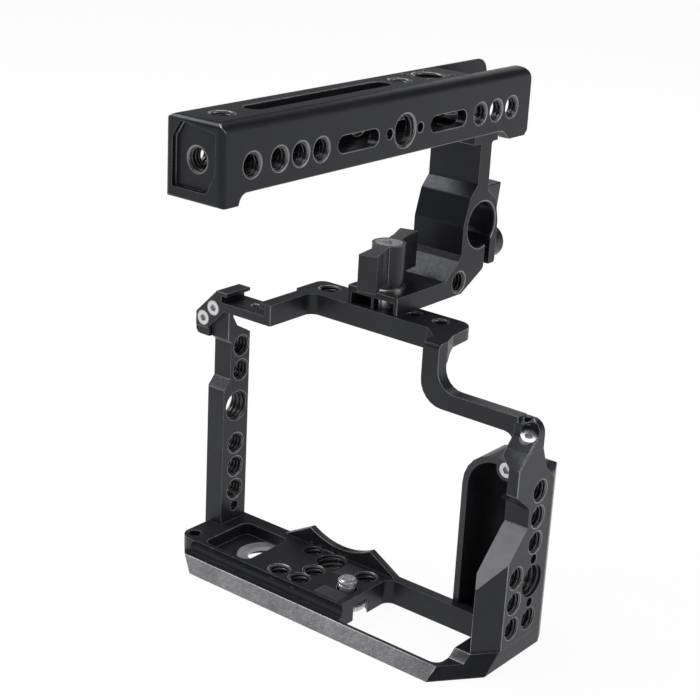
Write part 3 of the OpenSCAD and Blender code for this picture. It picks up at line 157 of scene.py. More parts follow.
class NodeSheet:
    """A small helper that adds and links nodes in one node tree."""

    def __init__(self, tree: bpy.types.NodeTree) -> None:
        """Keeps the tree and empties it.

        Args:
            tree: The node tree to fill.
        """
        self.tree = tree
        tree.nodes.clear()

    def add(self, kind: str, **values: object) -> bpy.types.Node:
        """Adds a node and sets its properties and inputs.

        Args:
            kind: The node's type name.
            **values: Properties of the node, or inputs by name with spaces written as underscores.

        Returns:
            The new node.
        """
        node = self.tree.nodes.new(kind)
        for key, value in values.items():
            if hasattr(node, key):
                setattr(node, key, value)
            else:
                node.inputs[key.replace("_", " ")].default_value = value
        return node

    def link(self, out: bpy.types.NodeSocket, into: bpy.types.NodeSocket) -> None:
        """Links one socket to another."""
        self.tree.links.new(out, into)

    def feed(self, value: object, into: bpy.types.NodeSocket) -> None:
        """Gives an input its value: a link where it is a socket, or else a plain value."""
        if isinstance(value, bpy.types.NodeSocket):
            self.link(value, into)
        else:
            into.default_value = value

    def maths(self, operation: str, *inputs: object) -> bpy.types.NodeSocket:
        """Adds a Math node.

        Args:
            operation: The operation's name.
            *inputs: Sockets or numbers, in order.

        Returns:
            The node's output.
        """
        node = self.add("ShaderNodeMath", operation=operation)
        for value, into in zip(inputs, node.inputs):
            self.feed(value, into)
        return node.outputs[0]

    def mix(self, share: bpy.types.NodeSocket, first: object, second: object) -> bpy.types.NodeSocket:
        """Adds a mix of two colours.

        Args:
            share: The share of the second.
            first: The first colour, as a socket or a value.
            second: The second colour, as a socket or a value.

        Returns:
            The mixed colour.
        """
        node = self.add("ShaderNodeMix", data_type="RGBA")
        for value, place in ((share, 0), (first, 6), (second, 7)):
            self.feed(value, node.inputs[place])
        return node.outputs[2]

    def blend(self, share: bpy.types.NodeSocket, first: bpy.types.Node,
              second: bpy.types.Node) -> bpy.types.Node:
        """Adds a mix of two shaders.

        Args:
            share: The share of the second.
            first: The first shader's node.
            second: The second shader's node.

        Returns:
            The mixing node.
        """
        node = self.add("ShaderNodeMixShader")
        for socket, into in zip((share, first.outputs[0], second.outputs[0]), node.inputs):
            self.link(socket, into)
        return node

    def shiny_ray(self, path: bpy.types.Node) -> bpy.types.NodeSocket:
        """Tells a ray that came off or through something glossy.

        Args:
            path: The Light Path node.

        Returns:
            An output that is one for such a ray.
        """
        return self.maths("MAXIMUM", path.outputs["Is Glossy Ray"], path.outputs["Is Transmission Ray"])

    def remap(self, source: bpy.types.NodeSocket, span: tuple[float, float],
              to: tuple[float, float]) -> bpy.types.NodeSocket:
        """Maps a value from one range to another, held inside it.

        Args:
            source: The socket that is mapped.
            span: The range of the source.
            to: The range of the result.

        Returns:
            The mapped output.
        """
        node = self.add("ShaderNodeMapRange")
        for name, value in zip(("From Min", "From Max", "To Min", "To Max"), (*span, *to)):
            node.inputs[name].default_value = value
        self.link(source, node.inputs["Value"])
        return node.outputs["Result"]


@dataclass(frozen=True)
class Finish:
    """One finish of the cage, made as a procedural material in Object coordinates."""

    name: str
    colour: Colour
    roughness: float
    metallic: float = 0.0
    surface: Surface = Surface.BLASTED
    grain: float = 0.22
    bump: float = 0.12
    wear_and_highlight: float = 0.0
    wear_and_highlight_colour: Colour = (0.35, 0.35, 0.36)
    coat: float = 0.0
    centre: Point = (0.0, 0.0, 0.0)
    stretch: Point = (1.0, 1.0, 1.0)
    variation: float = 0.18
    specular: float = 0.5

    def build(self) -> bpy.types.Material:
        """Builds the material once and returns it.

        Returns:
            The Blender material of this finish.
        """
        known = bpy.data.materials.get("cage_" + self.name)
        if known is not None:
            return known
        material = bpy.data.materials.new("cage_" + self.name)
        material.use_nodes = True
        sheet = NodeSheet(material.node_tree)
        out = sheet.add("ShaderNodeOutputMaterial")
        shader = sheet.add("ShaderNodeBsdfPrincipled")
        shader.inputs["Metallic"].default_value = self.metallic
        shader.inputs["Specular IOR Level"].default_value = self.specular
        shader.inputs["Specular Tint"].default_value = SPECULAR_TINT
        shader.inputs["Coat Weight"].default_value = self.coat
        shader.inputs["Coat Roughness"].default_value = COAT_ROUGHNESS
        sheet.link(shader.outputs[0], out.inputs["Surface"])
        coords = sheet.add("ShaderNodeTexCoord")
        place = sheet.add("ShaderNodeMapping")
        place.inputs["Location"].default_value = [-c * MM for c in self.centre]
        sheet.link(coords.outputs["Object"], place.inputs["Vector"])
        self._colour(sheet, shader, place)
        self._relief(sheet, shader, place)
        return material

    def _colour(self, sheet: NodeSheet, shader: bpy.types.Node, place: bpy.types.Node) -> None:
        """Gives the shader its colour, roughness and worn edges, whose lightening is partly a painted
        highlight.

        Args:
            sheet: The material's nodes.
            shader: The shader that takes them.
            place: The node that gives the pattern's place.
        """
        cloud = sheet.add("ShaderNodeTexNoise", Scale=CLOUD_SCALE, Detail=4.0, Roughness=0.6)
        sheet.link(place.outputs[0], cloud.inputs["Vector"])
        dark = tuple(c * (1 - self.variation) for c in self.colour) + (1.0,)
        light = tuple(min(1.0, c * (1 + self.variation)) for c in self.colour) + (1.0,)
        colour = sheet.mix(sheet.remap(cloud.outputs["Fac"], NOISE_USED, (0.0, 1.0)), dark, light)
        fine = sheet.add("ShaderNodeTexNoise", Scale=FINE_SCALE, Detail=3.0)
        sheet.link(place.outputs[0], fine.inputs["Vector"])
        down, up = ROUGHNESS_MOVE
        rough = sheet.remap(fine.outputs["Fac"], NOISE_USED, (self.roughness - down, self.roughness + up))
        # Painted highlight along the edges, partly real wear: where the bevelled normal turns away, the
        # colour is lightened towards the edge colour.
        if self.wear_and_highlight > 0:
            bevel = sheet.add("ShaderNodeBevel", samples=4, Radius=WEAR_AND_HIGHLIGHT_REACH)
            body = sheet.add("ShaderNodeNewGeometry")
            dot = sheet.add("ShaderNodeVectorMath", operation="DOT_PRODUCT")
            sheet.link(bevel.outputs[0], dot.inputs[0])
            sheet.link(body.outputs["Normal"], dot.inputs[1])
            edge = sheet.remap(dot.outputs["Value"], WEAR_AND_HIGHLIGHT_TURN, (1.0, 0.0))
            patch = sheet.remap(fine.outputs["Fac"], WEAR_AND_HIGHLIGHT_NOISE, (WEAR_AND_HIGHLIGHT_LEAST, 1.0))
            wear_and_highlight_mask = sheet.maths("MULTIPLY", sheet.maths("MULTIPLY", edge, patch), self.wear_and_highlight)
            colour = sheet.mix(wear_and_highlight_mask, colour, self.wear_and_highlight_colour + (1.0,))
        sheet.link(colour, shader.inputs["Base Color"])
        sheet.link(rough, shader.inputs["Roughness"])

    def _relief(self, sheet: NodeSheet, shader: bpy.types.Node, place: bpy.types.Node) -> None:
        """Gives the shader the bump of its worked surface.

        Args:
            sheet: The material's nodes.
            shader: The shader that takes the bump.
            place: The node that gives the pattern's place.
        """
        size = self.grain * MM
        if self.surface in (Surface.BLASTED, Surface.BRUSHED):
            aim = sheet.add("ShaderNodeMapping")
            aim.inputs["Scale"].default_value = self.stretch
            sheet.link(place.outputs[0], aim.inputs["Vector"])
            noise = sheet.add("ShaderNodeTexNoise", Scale=1.0 / size, Detail=2.0, Roughness=0.7)
            sheet.link(aim.outputs[0], noise.inputs["Vector"])
            height = noise.outputs["Fac"]
        else:
            parts = sheet.add("ShaderNodeSeparateXYZ")
            sheet.link(place.outputs[0], parts.inputs[0])
            x, y, z = parts.outputs
            per = 2 * math.pi / size
            if self.surface is Surface.TURNED:
                reach = sheet.maths("SQRT", sheet.maths("ADD", sheet.maths("MULTIPLY", x, x),
                                                        sheet.maths("MULTIPLY", y, y)))
                height = sheet.maths("SINE", sheet.maths("MULTIPLY", reach, per))
            else:
                up = sheet.maths("ADD", x, z)
                one = sheet.maths("SINE", sheet.maths("MULTIPLY", sheet.maths("ADD", up, y), per))
                two = sheet.maths("SINE", sheet.maths("MULTIPLY", sheet.maths("SUBTRACT", up, y), per))
                height = sheet.maths("MULTIPLY", one, two)
        bump = sheet.add("ShaderNodeBump", Strength=self.bump, Distance=BUMP_HEIGHT)
        sheet.link(height, bump.inputs["Height"])
        sheet.link(bump.outputs[0], shader.inputs["Normal"])


# The wear values below lighten the edges: a painted highlight, partly real edge wear.
ANODISED = Finish("anodised_black", (0.014, 0.0145, 0.0175), 0.34, wear_and_highlight=0.5, bump=0.09, specular=0.32)
HANDLE = Finish("anodised_handle", (0.01, 0.0105, 0.013), 0.34, wear_and_highlight=0.5, bump=0.08, specular=0.26)
SHELL = Finish("matt_shell", (0.02, 0.0205, 0.023), 0.34, bump=0.06, wear_and_highlight=0.2)
KNOB = Finish("anodised_knob", (0.018, 0.018, 0.02), 0.3, wear_and_highlight=0.55, bump=0.06, specular=0.35)
KNOB_TOP = Finish("turned_knob_top", (0.07, 0.07, 0.075), 0.36, metallic=0.3, surface=Surface.TURNED,
                  grain=0.3, bump=0.08, centre=(-7.4, 15.4, 0.0))
THREAD = Finish("cut_thread", (0.06, 0.06, 0.063), 0.24, metallic=0.5, bump=0.05, coat=0.3)
STEEL = Finish("stainless_screw", (0.62, 0.62, 0.63), 0.28, metallic=0.7, bump=0.03, wear_and_highlight=0.4,
               wear_and_highlight_colour=(0.85, 0.85, 0.86), variation=0.06)
TURNED_STEEL = Finish("turned_steel", (0.58, 0.58, 0.6), 0.28, metallic=0.75, surface=Surface.TURNED,
                      grain=0.35, bump=0.12, centre=(8.5, -17.0, 0.0), variation=0.06)
RING = Finish("turned_ring", (0.36, 0.36, 0.37), 0.34, metallic=0.6, surface=Surface.TURNED, grain=0.4,
              bump=0.3, centre=(-30.2, -12.2, 0.0), variation=0.08)
# Painted sheen: the slanted face of the base takes a lighter colour for the light it mirrors; its brushed
# bump is real.
BRUSHED = Finish("brushed_face_painted_sheen", (0.1, 0.1, 0.104), 0.44, metallic=0.5, surface=Surface.BRUSHED,
                 grain=0.3, bump=0.55, stretch=(0.12, 1.0, 1.0), variation=0.25)
# Painted highlight: the thumb ledge's slanted face takes a lighter colour for the light that falls on it;
# its blasted bump is real.
LEDGE_PAINTED_HIGHLIGHT = Finish("blasted_ledge_painted_highlight", (0.2, 0.2, 0.21), 0.48, metallic=0.35, grain=0.4, bump=0.6)
# Painted highlight: the bright colour of the tab's chamfer faces stands in for the light they catch.
CHAMFER_PAINTED_HIGHLIGHT = Finish("cut_chamfer_painted_highlight", (0.42, 0.42, 0.43), 0.25, metallic=0.8, bump=0.05)
# Lighter finishes of the bevel faces: painted highlight where the broken edges catch the light, partly real
# edge wear.
EDGE_WEAR_AND_HIGHLIGHT = Finish("broken_edge_highlight", (0.2, 0.2, 0.205), 0.27, metallic=0.55, bump=0.04, variation=0.3)
SHELL_EDGE_HIGHLIGHT = Finish("shell_edge_highlight", (0.04, 0.04, 0.042), 0.3, metallic=0.2, bump=0.04, variation=0.3)
RUBBER = Finish("hatched_rubber", (0.03, 0.03, 0.032), 0.6, surface=Surface.HATCHED, grain=1.1,
                bump=1.0)
NYLON = Finish("black_nylon", (0.02, 0.02, 0.02), 0.5, bump=0.08)
STEEL_WASHER = Finish("steel_washer", (0.62, 0.62, 0.63), 0.26, metallic=1.0, surface=Surface.TURNED,
                      grain=0.3, bump=0.08, centre=(-7.4, 15.4, 0.0), variation=0.05)


@dataclass(frozen=True)
class Accent:
    """Faces of a casting that carry another finish, found by their normal and place (mm); some of these
    finishes paint lit faces lighter.
    """

    normal: Point
    low: Point
    high: Point
    finish: Finish
    within: float = 0.985

    def takes(self, face: bmesh.types.BMFace) -> bool:
        """Tells whether a face belongs to this accent.

        Args:
            face: The face of the casting.

        Returns:
            True where its normal and middle fit.
        """
        if face.normal.dot(Vector(self.normal).normalized()) < self.within:
            return False
        middle = face.calc_center_median() / MM
        return all(a <= m <= b for a, m, b in zip(self.low, middle, self.high))


def mesh_object(name: str, mesh: bpy.types.Mesh) -> bpy.types.Object:
    """Puts a mesh in the scene at the origin.

    Args:
        name: The new piece's name.
        mesh: Its mesh, with its place in it.

    Returns:
        The new object.
    """
    piece = bpy.data.objects.new(name, mesh)
    bpy.context.scene.collection.objects.link(piece)
    return piece


def surface_of(body: bmesh.types.BMesh) -> float:
    """Returns the whole surface of a mesh."""
    return sum(f.calc_area() for f in body.faces)


def plain_mesh(piece: bpy.types.Object) -> None:
    """Turns a piece's modifiers into its own mesh and takes them off.

    Args:
        piece: The object whose modifiers are applied.
    """
    bpy.context.view_layer.update()
    result = bpy.data.meshes.new_from_object(piece.evaluated_get(bpy.context.evaluated_depsgraph_get()))
    piece.modifiers.clear()
    piece.data = result


@dataclass
class Casting:
    """A machined part of the cage: a copy of its solid with its edges broken and its faces finished."""

    node: str
    finish: Finish
    slot: str
    edge: float = 0.22
    segments: int = 2
    limit: float = 35.0
    corner: float = 30.0
    worn_edge_highlight: Finish = EDGE_WEAR_AND_HIGHLIGHT
    accents: list[Accent] = field(default_factory=list)

    def build(self, frame: dict) -> bpy.types.Object:
        """Makes the dressed copy and lets it stand for the solid.

        Args:
            frame: The loaded frame.

        Returns:
            The finished piece.
        """
        solid = frame["nodes"][self.node]
        piece = mesh_object(self.node + "_dressed", solid.data.copy())
        self._clean(piece)
        piece.data.materials.clear()
        for finish in (self.finish, self.worn_edge_highlight, *(accent.finish for accent in self.accents)):
            piece.data.materials.append(finish.build())
        for polygon in piece.data.polygons:
            polygon.material_index = 0
        self._break_edges(piece)
        self._dress(piece)
        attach(piece, body_of(solid)[0])
        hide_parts(self.node)
        LOG.info("%s: %d faces", piece.name, len(piece.data.polygons))
        return piece

    def _clean(self, piece: bpy.types.Object) -> None:
        """Joins the loose triangles and turns flat areas into single faces.

        Args:
            piece: The copy of the solid.
        """
        body = bmesh.new()
        body.from_mesh(piece.data)
        bmesh.ops.remove_doubles(body, verts=body.verts, dist=MERGE_DISTANCE)
        bmesh.ops.dissolve_degenerate(body, edges=body.edges, dist=SMALLEST_EDGE)
        bmesh.ops.dissolve_limit(body, angle_limit=PLANE_ANGLE, verts=body.verts,
                                 edges=body.edges, delimit={"NORMAL"})
        body.to_mesh(piece.data)
        body.free()

    def _break_edges(self, piece: bpy.types.Object) -> None:
        """Bevels the sharp edges chain by chain, as the real part's are broken.

        A chain that would fold or spike is tried narrower, then in short runs. A run that fails stays
        sharp.

        Args:
            piece: The cleaned copy.
        """
        body = bmesh.new()
        body.from_mesh(piece.data)
        surface = BVHTree.FromBMesh(body)
        label = body.edges.layers.int.new("chain")
        chains = self._chains(body, label)
        todo = list(range(1, chains + 1))
        whole, last, left = chains, chains, 0
        while todo:
            number = todo.pop(0)
            for share in BEVEL_SHARES:
                trial = self._bevelled(body, number, share, surface)
                if trial is not None:
                    body.free()
                    body = trial
                    break
            else:
                if number > whole:
                    left += 1
                    continue
                runs = self._runs(body, number, last)
                todo.extend(range(last + 1, runs + 1))
                last = runs
        body.to_mesh(piece.data)
        body.free()
        LOG.info("%s: %d chains of edges, %d short runs left sharp", self.node, chains, left)

    def _chains(self, body: bmesh.types.BMesh, label: bmesh.types.BMLayerItem) -> int:
        """Labels each connected chain of sharp edges with its own number.

        Args:
            body: The cleaned mesh.
            label: The edge layer for the numbers.

        Returns:
            How many chains there are.
        """
        limit = math.radians(self.limit)
        sharp = {e for e in body.edges if len(e.link_faces) == 2 and e.calc_face_angle(0.0) > limit}
        number = 0
        for start in body.edges:
            if start not in sharp or start[label]:
                continue
            number += 1
            todo = [start]
            start[label] = number
            while todo:
                edge = todo.pop()
                for other in (o for v in edge.verts for o in v.link_edges):
                    if other in sharp and not other[label]:
                        other[label] = number
                        todo.append(other)
        return number

    def _runs(self, body: bmesh.types.BMesh, number: int, last: int) -> int:
        """Splits a chain at its corners into runs with numbers of their own.

        Args:
            body: The mesh so far.
            number: The chain's number.
            last: The highest number in use.

        Returns:
            The new highest number.
        """
        label = body.edges.layers.int["chain"]
        mine = {e for e in body.edges if e[label] == number}
        for start in [e for e in body.edges if e in mine]:
            if start[label] != number:
                continue
            last += 1
            start[label] = last
            todo = [start]
            while todo:
                edge = todo.pop()
                for vert in edge.verts:
                    meeting = [e for e in vert.link_edges if e in mine]
                    if len(meeting) != 2:
                        continue
                    ways = [(e.other_vert(vert).co - vert.co).normalized() for e in meeting]
                    if ways[0].dot(ways[1]) > -math.cos(math.radians(self.corner)):
                        continue
                    for other in meeting:
                        if other[label] == number:
                            other[label] = last
                            todo.append(other)
        return last

    def _bevelled(self, body: bmesh.types.BMesh, number: int, share: float,
                  surface: BVHTree) -> bmesh.types.BMesh | None:
        """Bevels one chain on a copy of the mesh and tests the result against the first surface.

        Args:
            body: The mesh so far.
            number: The chain's number.
            share: The share of the full width.
            surface: The surface before any bevel.

        Returns:
            The bevelled copy, or None where the bevel folds or spikes.
        """
        trial = body.copy()
        label = trial.edges.layers.int["chain"]
        edges = [e for e in trial.edges if e[label] == number]
        width = self.edge * MM * share
        made = bmesh.ops.bevel(trial, geom=edges, offset=width, offset_type="OFFSET",
                               segments=self.segments, profile=0.5, affect="EDGES",
                               clamp_overlap=False, loop_slide=False, material=WORN_HIGHLIGHT_SLOT)
        for edge in made["edges"]:
            edge[label] = 0
        trial.normal_update()
        grown = surface_of(trial) > surface_of(body) + SURFACE_GROWTH
        if not grown and self._holds(trial, made, width, surface):
            return trial
        trial.free()
        return None

    def _holds(self, trial: bmesh.types.BMesh, made: dict, width: float, surface: BVHTree) -> bool:
        """Tells whether a bevel is closed, doesn't cross itself and stays near the first surface.

        Args:
            trial: The bevelled mesh.
            made: The faces, edges and points of the bevel.
            width: The bevel's width.
            surface: The surface before any bevel.

        Returns:
            True where it passes every test.
        """
        if any(not e.is_manifold for f in made["faces"] for e in f.edges):
            return False
        if self._crossed(trial, made["verts"]):
            return False
        if any(surface.find_nearest(v.co)[3] > width for v in made["verts"]):
            return False
        for face in made["faces"]:
            if face.calc_area() < SMALLEST_FACE:
                continue
            _, normal, _, distance = surface.find_nearest(face.calc_center_median())
            if distance > width or normal.dot(face.normal) < FACING:
                return False
        return True

    def _crossed(self, trial: bmesh.types.BMesh, verts: list[bmesh.types.BMVert]) -> bool:
        """Tells whether a face crosses itself, so that its triangles cover more than its area.

        Args:
            trial: The bevelled mesh.
            verts: The points whose faces are tested.

        Returns:
            True where one does.
        """
        near = {f for v in verts for f in v.link_faces if len(f.verts) > 3}
        covered = dict.fromkeys(near, 0.0)
        for a, b, c in trial.calc_loop_triangles():
            if a.face in covered:
                covered[a.face] += area_tri(a.vert.co, b.vert.co, c.vert.co)
        return any(area > CROSSING_SHARE * face.calc_area() + CROSSING_AREA
                   for face, area in covered.items())

    def _dress(self, piece: bpy.types.Object) -> None:
        """Smooths the piece by angle and gives its faces their finishes.

        Args:
            piece: The copy with its edges broken.
        """
        mesh = piece.data
        body = bmesh.new()
        body.from_mesh(mesh)
        for face in body.faces:
            face.smooth = True
            for slot, accent in enumerate(self.accents, ACCENT_SLOT):
                if face.material_index != WORN_HIGHLIGHT_SLOT and accent.takes(face):
                    face.material_index = slot
        for edge in body.edges:
            edge.smooth = len(edge.link_faces) == 2 and edge.calc_face_angle(0.0) < SMOOTH_ANGLE
        body.to_mesh(mesh)
        body.free()
        flat = piece.modifiers.new("flat_faces", "WEIGHTED_NORMAL")
        flat.mode = "FACE_AREA"
        flat.weight = FLAT_WEIGHT
        flat.keep_sharp = True
        plain_mesh(piece)


@dataclass(frozen=True)
class ThreadRow:
    """A group of equal tapped holes along one axis (mm), given by the low end of each."""

    axis: Axis
    radius: float
    pitch: float
    length: float
    points: tuple[Point, ...]


def thread_tree() -> bpy.types.GeometryNodeTree:
    """Builds the Geometry Nodes tree that cuts a screw thread at every point of a mesh.

    Returns:
        The node tree, with named inputs for its sizes.
    """
    tree = bpy.data.node_groups.new("screw_thread", "GeometryNodeTree")
    for name, kind in (("Points", "NodeSocketGeometry"), ("Radius", "NodeSocketFloat"),
                       ("Ridge", "NodeSocketFloat"), ("Turns", "NodeSocketFloat"),
                       ("Length", "NodeSocketFloat"), ("Finish", "NodeSocketMaterial")):
        tree.interface.new_socket(name=name, in_out="INPUT", socket_type=kind)
    tree.interface.new_socket(name="Thread", in_out="OUTPUT", socket_type="NodeSocketGeometry")
    sheet = NodeSheet(tree)
    given = sheet.add("NodeGroupInput")
    out = sheet.add("NodeGroupOutput")
    helix = sheet.add("GeometryNodeCurveSpiral")
    helix.inputs["Resolution"].default_value = HELIX_STEPS
    sheet.link(given.outputs["Turns"], helix.inputs["Rotations"])
    sheet.link(given.outputs["Radius"], helix.inputs["Start Radius"])
    sheet.link(given.outputs["Radius"], helix.inputs["End Radius"])
    sheet.link(given.outputs["Length"], helix.inputs["Height"])
    ridge = sheet.add("GeometryNodeCurvePrimitiveCircle")
    ridge.inputs["Resolution"].default_value = RIDGE_SIDES
    sheet.link(given.outputs["Ridge"], ridge.inputs["Radius"])
    swept = sheet.add("GeometryNodeCurveToMesh")
    swept.inputs["Fill Caps"].default_value = True
    sheet.link(helix.outputs[0], swept.inputs["Curve"])
    sheet.link(ridge.outputs[0], swept.inputs["Profile Curve"])
    copies = sheet.add("GeometryNodeInstanceOnPoints")
    sheet.link(given.outputs["Points"], copies.inputs["Points"])
    sheet.link(swept.outputs[0], copies.inputs["Instance"])
    real = sheet.add("GeometryNodeRealizeInstances")
    sheet.link(copies.outputs[0], real.inputs[0])
    coated = sheet.add("GeometryNodeSetMaterial")
    sheet.link(real.outputs[0], coated.inputs["Geometry"])
    sheet.link(given.outputs["Finish"], coated.inputs["Material"])
    sheet.link(coated.outputs[0], out.inputs[0])
    return tree


def set_input(modifier: bpy.types.NodesModifier, name: str, value: object) -> None:
    """Sets one named input of a Geometry Nodes modifier by its socket's identifier.

    Args:
        modifier: The modifier.
        name: The input's name in the tree.
        value: Its value.
    """
    for item in modifier.node_group.interface.items_tree:
        if item.item_type == "SOCKET" and item.in_out == "INPUT" and item.name == name:
            modifier[item.identifier] = value


@dataclass
class ThreadCutter:
    """Cuts the screw threads of tapped holes and screws, one plain mesh for each piece."""

    ridge_share: float = 0.36
    lead_share: float = 0.5
    tree: bpy.types.GeometryNodeTree = field(default_factory=thread_tree)

    def row(self, row: ThreadRow, finish: Finish, inset: float = 0.0) -> bpy.types.Mesh:
        """Makes the threads of one row.

        Args:
            row: The row's holes and sizes.
            finish: The thread's finish.
            inset: How far the ridge's middle lies inside the radius (mm).

        Returns:
            A mesh with its place in it.
        """
        turn = row.axis.turn()
        back = turn.inverted()
        lead = row.pitch * self.lead_share
        points = [back @ (Vector(p) * MM) + Vector((0, 0, lead * MM)) for p in row.points]
        seeds = bpy.data.meshes.new("thread_points")
        seeds.from_pydata(points, [], [])
        piece = mesh_object("thread_row", seeds)
        modifier = piece.modifiers.new("thread", "NODES")
        modifier.node_group = self.tree
        length = row.length - 2 * lead
        set_input(modifier, "Radius", (row.radius - inset) * MM)
        set_input(modifier, "Ridge", row.pitch * self.ridge_share * MM)
        set_input(modifier, "Turns", length / row.pitch)
        set_input(modifier, "Length", length * MM)
        set_input(modifier, "Finish", finish.build())
        plain_mesh(piece)
        mesh = piece.data
        mesh.transform(turn)
        bpy.data.objects.remove(piece)
        return mesh

    def piece(self, name: str, rows: list[ThreadRow], finish: Finish,
              inset: float = 0.0) -> bpy.types.Object:
        """Joins several rows into one piece.

        Args:
            name: The piece's name.
            rows: The rows of holes.
            finish: The thread's finish.
            inset: How far the ridge's middle lies inside the radius (mm).

        Returns:
            The joined piece at the origin.
        """
        body = bmesh.new()
        for row in rows:
            body.from_mesh(self.row(row, finish, inset))
        bmesh.ops.recalc_face_normals(body, faces=body.faces)
        mesh = bpy.data.meshes.new(name)
        body.to_mesh(mesh)
        body.free()
        mesh.materials.append(finish.build())
        for polygon in mesh.polygons:
            polygon.material_index = 0
        return mesh_object(name, mesh)


# Radius and pitch of the two threads (mm).
QUARTER = (3.175, 1.27)
THREE_EIGHTHS = (4.76, 1.5875)


def along_x(x: float, at: tuple[tuple[float, float], ...]) -> tuple[Point, ...]:
    """Returns points at one x from pairs of y and z."""
    return tuple((x, y, z) for y, z in at)


@dataclass
class TappedHoles:
    """Every tapped hole of the cage: low end and length of each group's threads, and the holes' places."""

    base_z: float = 0.0
    base_t: float = 8.15
    column_x: float = -57.0
    column_t: float = 7.2
    plate_x: float = 54.8
    plate_t: float = 8.2
    plate_large_t: float = 7.0
    bar_z: float = 83.3
    bar_t: float = 6.9
    wall_x: tuple[float, float] = (-18.0, -0.4)
    wall_t: float = 3.6
    wall_z: float = 149.2
    top_z: float = 157.5
    top_t: float = 4.0
    handle_x: float = -7.4
    rear_y: float = -71.4
    rear_z: float = 150.2
    rear_t: float = 5.0
    post_x: tuple[float, float] = (-6.6, -17.2)
    post_y: float = 41.2
    post_z: float = 94.5
    post_t: float = 9.0

    def quarter_rows(self) -> list[ThreadRow]:
        """Returns the rows of 1/4 inch holes."""
        deck = ((-15.8, -4.6), (-15.0, -22.3), (-6.6, -15.2), (-6.6, -22.3), (8.1, -6.9))
        column = ((-6.1, 19.4), (-6.1, 27.8), (-6.1, 36.2), (-4.6, 61.9), (-4.6, 70.3))
        plate = ((2.2, 11.0), (2.2, 36.4), (2.2, 44.8), (2.2, 53.2),
                 (-6.7, 11.0), (-6.7, 19.4), (-6.7, 27.8))
        walls = tuple((y, self.wall_z) for y in (-61.4, -50.4, -41.6, -32.8, 45.0, 53.8, 62.6))
        bar = (-30.1, 15.3)
        top = (-62.3, 15.8)
        return [
            ThreadRow(Axis.Z, *QUARTER, self.base_t, tuple((x, y, self.base_z) for x, y in deck)),
            ThreadRow(Axis.X, *QUARTER, self.column_t, along_x(self.column_x, column)),
            ThreadRow(Axis.X, *QUARTER, self.plate_t, along_x(self.plate_x, plate)),
            ThreadRow(Axis.Z, *QUARTER, self.bar_t, ((*bar, self.bar_z),)),
            ThreadRow(Axis.X, *QUARTER, self.wall_t, along_x(self.wall_x[0], walls)),
            ThreadRow(Axis.X, *QUARTER, self.wall_t, along_x(self.wall_x[1], walls)),
            ThreadRow(Axis.Z, *QUARTER, self.top_t, tuple((self.handle_x, y, self.top_z) for y in top)),
            ThreadRow(Axis.Y, *QUARTER, self.rear_t, ((self.handle_x, self.rear_y, self.rear_z),)),
            ThreadRow(Axis.X, *QUARTER, self.post_t,
                      tuple((x, self.post_y, self.post_z) for x in self.post_x)),
        ]

    def three_eighths_rows(self) -> list[ThreadRow]:
        """Returns the rows of 3/8 inch holes."""
        deck = (-6.6, -6.3)
        column = (-6.1, 49.6)
        plate = (2.2, 23.7)
        wall_y = 5.8
        top_y = 30.2
        return [
            ThreadRow(Axis.Z, *THREE_EIGHTHS, self.base_t, ((*deck, self.base_z),)),
            ThreadRow(Axis.X, *THREE_EIGHTHS, self.column_t, ((self.column_x, *column),)),
            ThreadRow(Axis.X, *THREE_EIGHTHS, self.plate_large_t, ((self.plate_x, *plate),)),
            ThreadRow(Axis.X, *THREE_EIGHTHS, self.wall_t,
                      tuple((x, wall_y, self.wall_z) for x in self.wall_x)),
            ThreadRow(Axis.Z, *THREE_EIGHTHS, self.top_t, ((self.handle_x, top_y, self.top_z),)),
        ]

    def build(self, cutter: ThreadCutter) -> None:
        """Cuts all the threads as one piece of the cage.

        Args:
            cutter: The thread cutter.
        """
        piece = cutter.piece("tapped_threads", self.quarter_rows() + self.three_eighths_rows(), THREAD)
        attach(piece, "cage")
        LOG.info("tapped_threads: %d faces", len(piece.data.polygons))


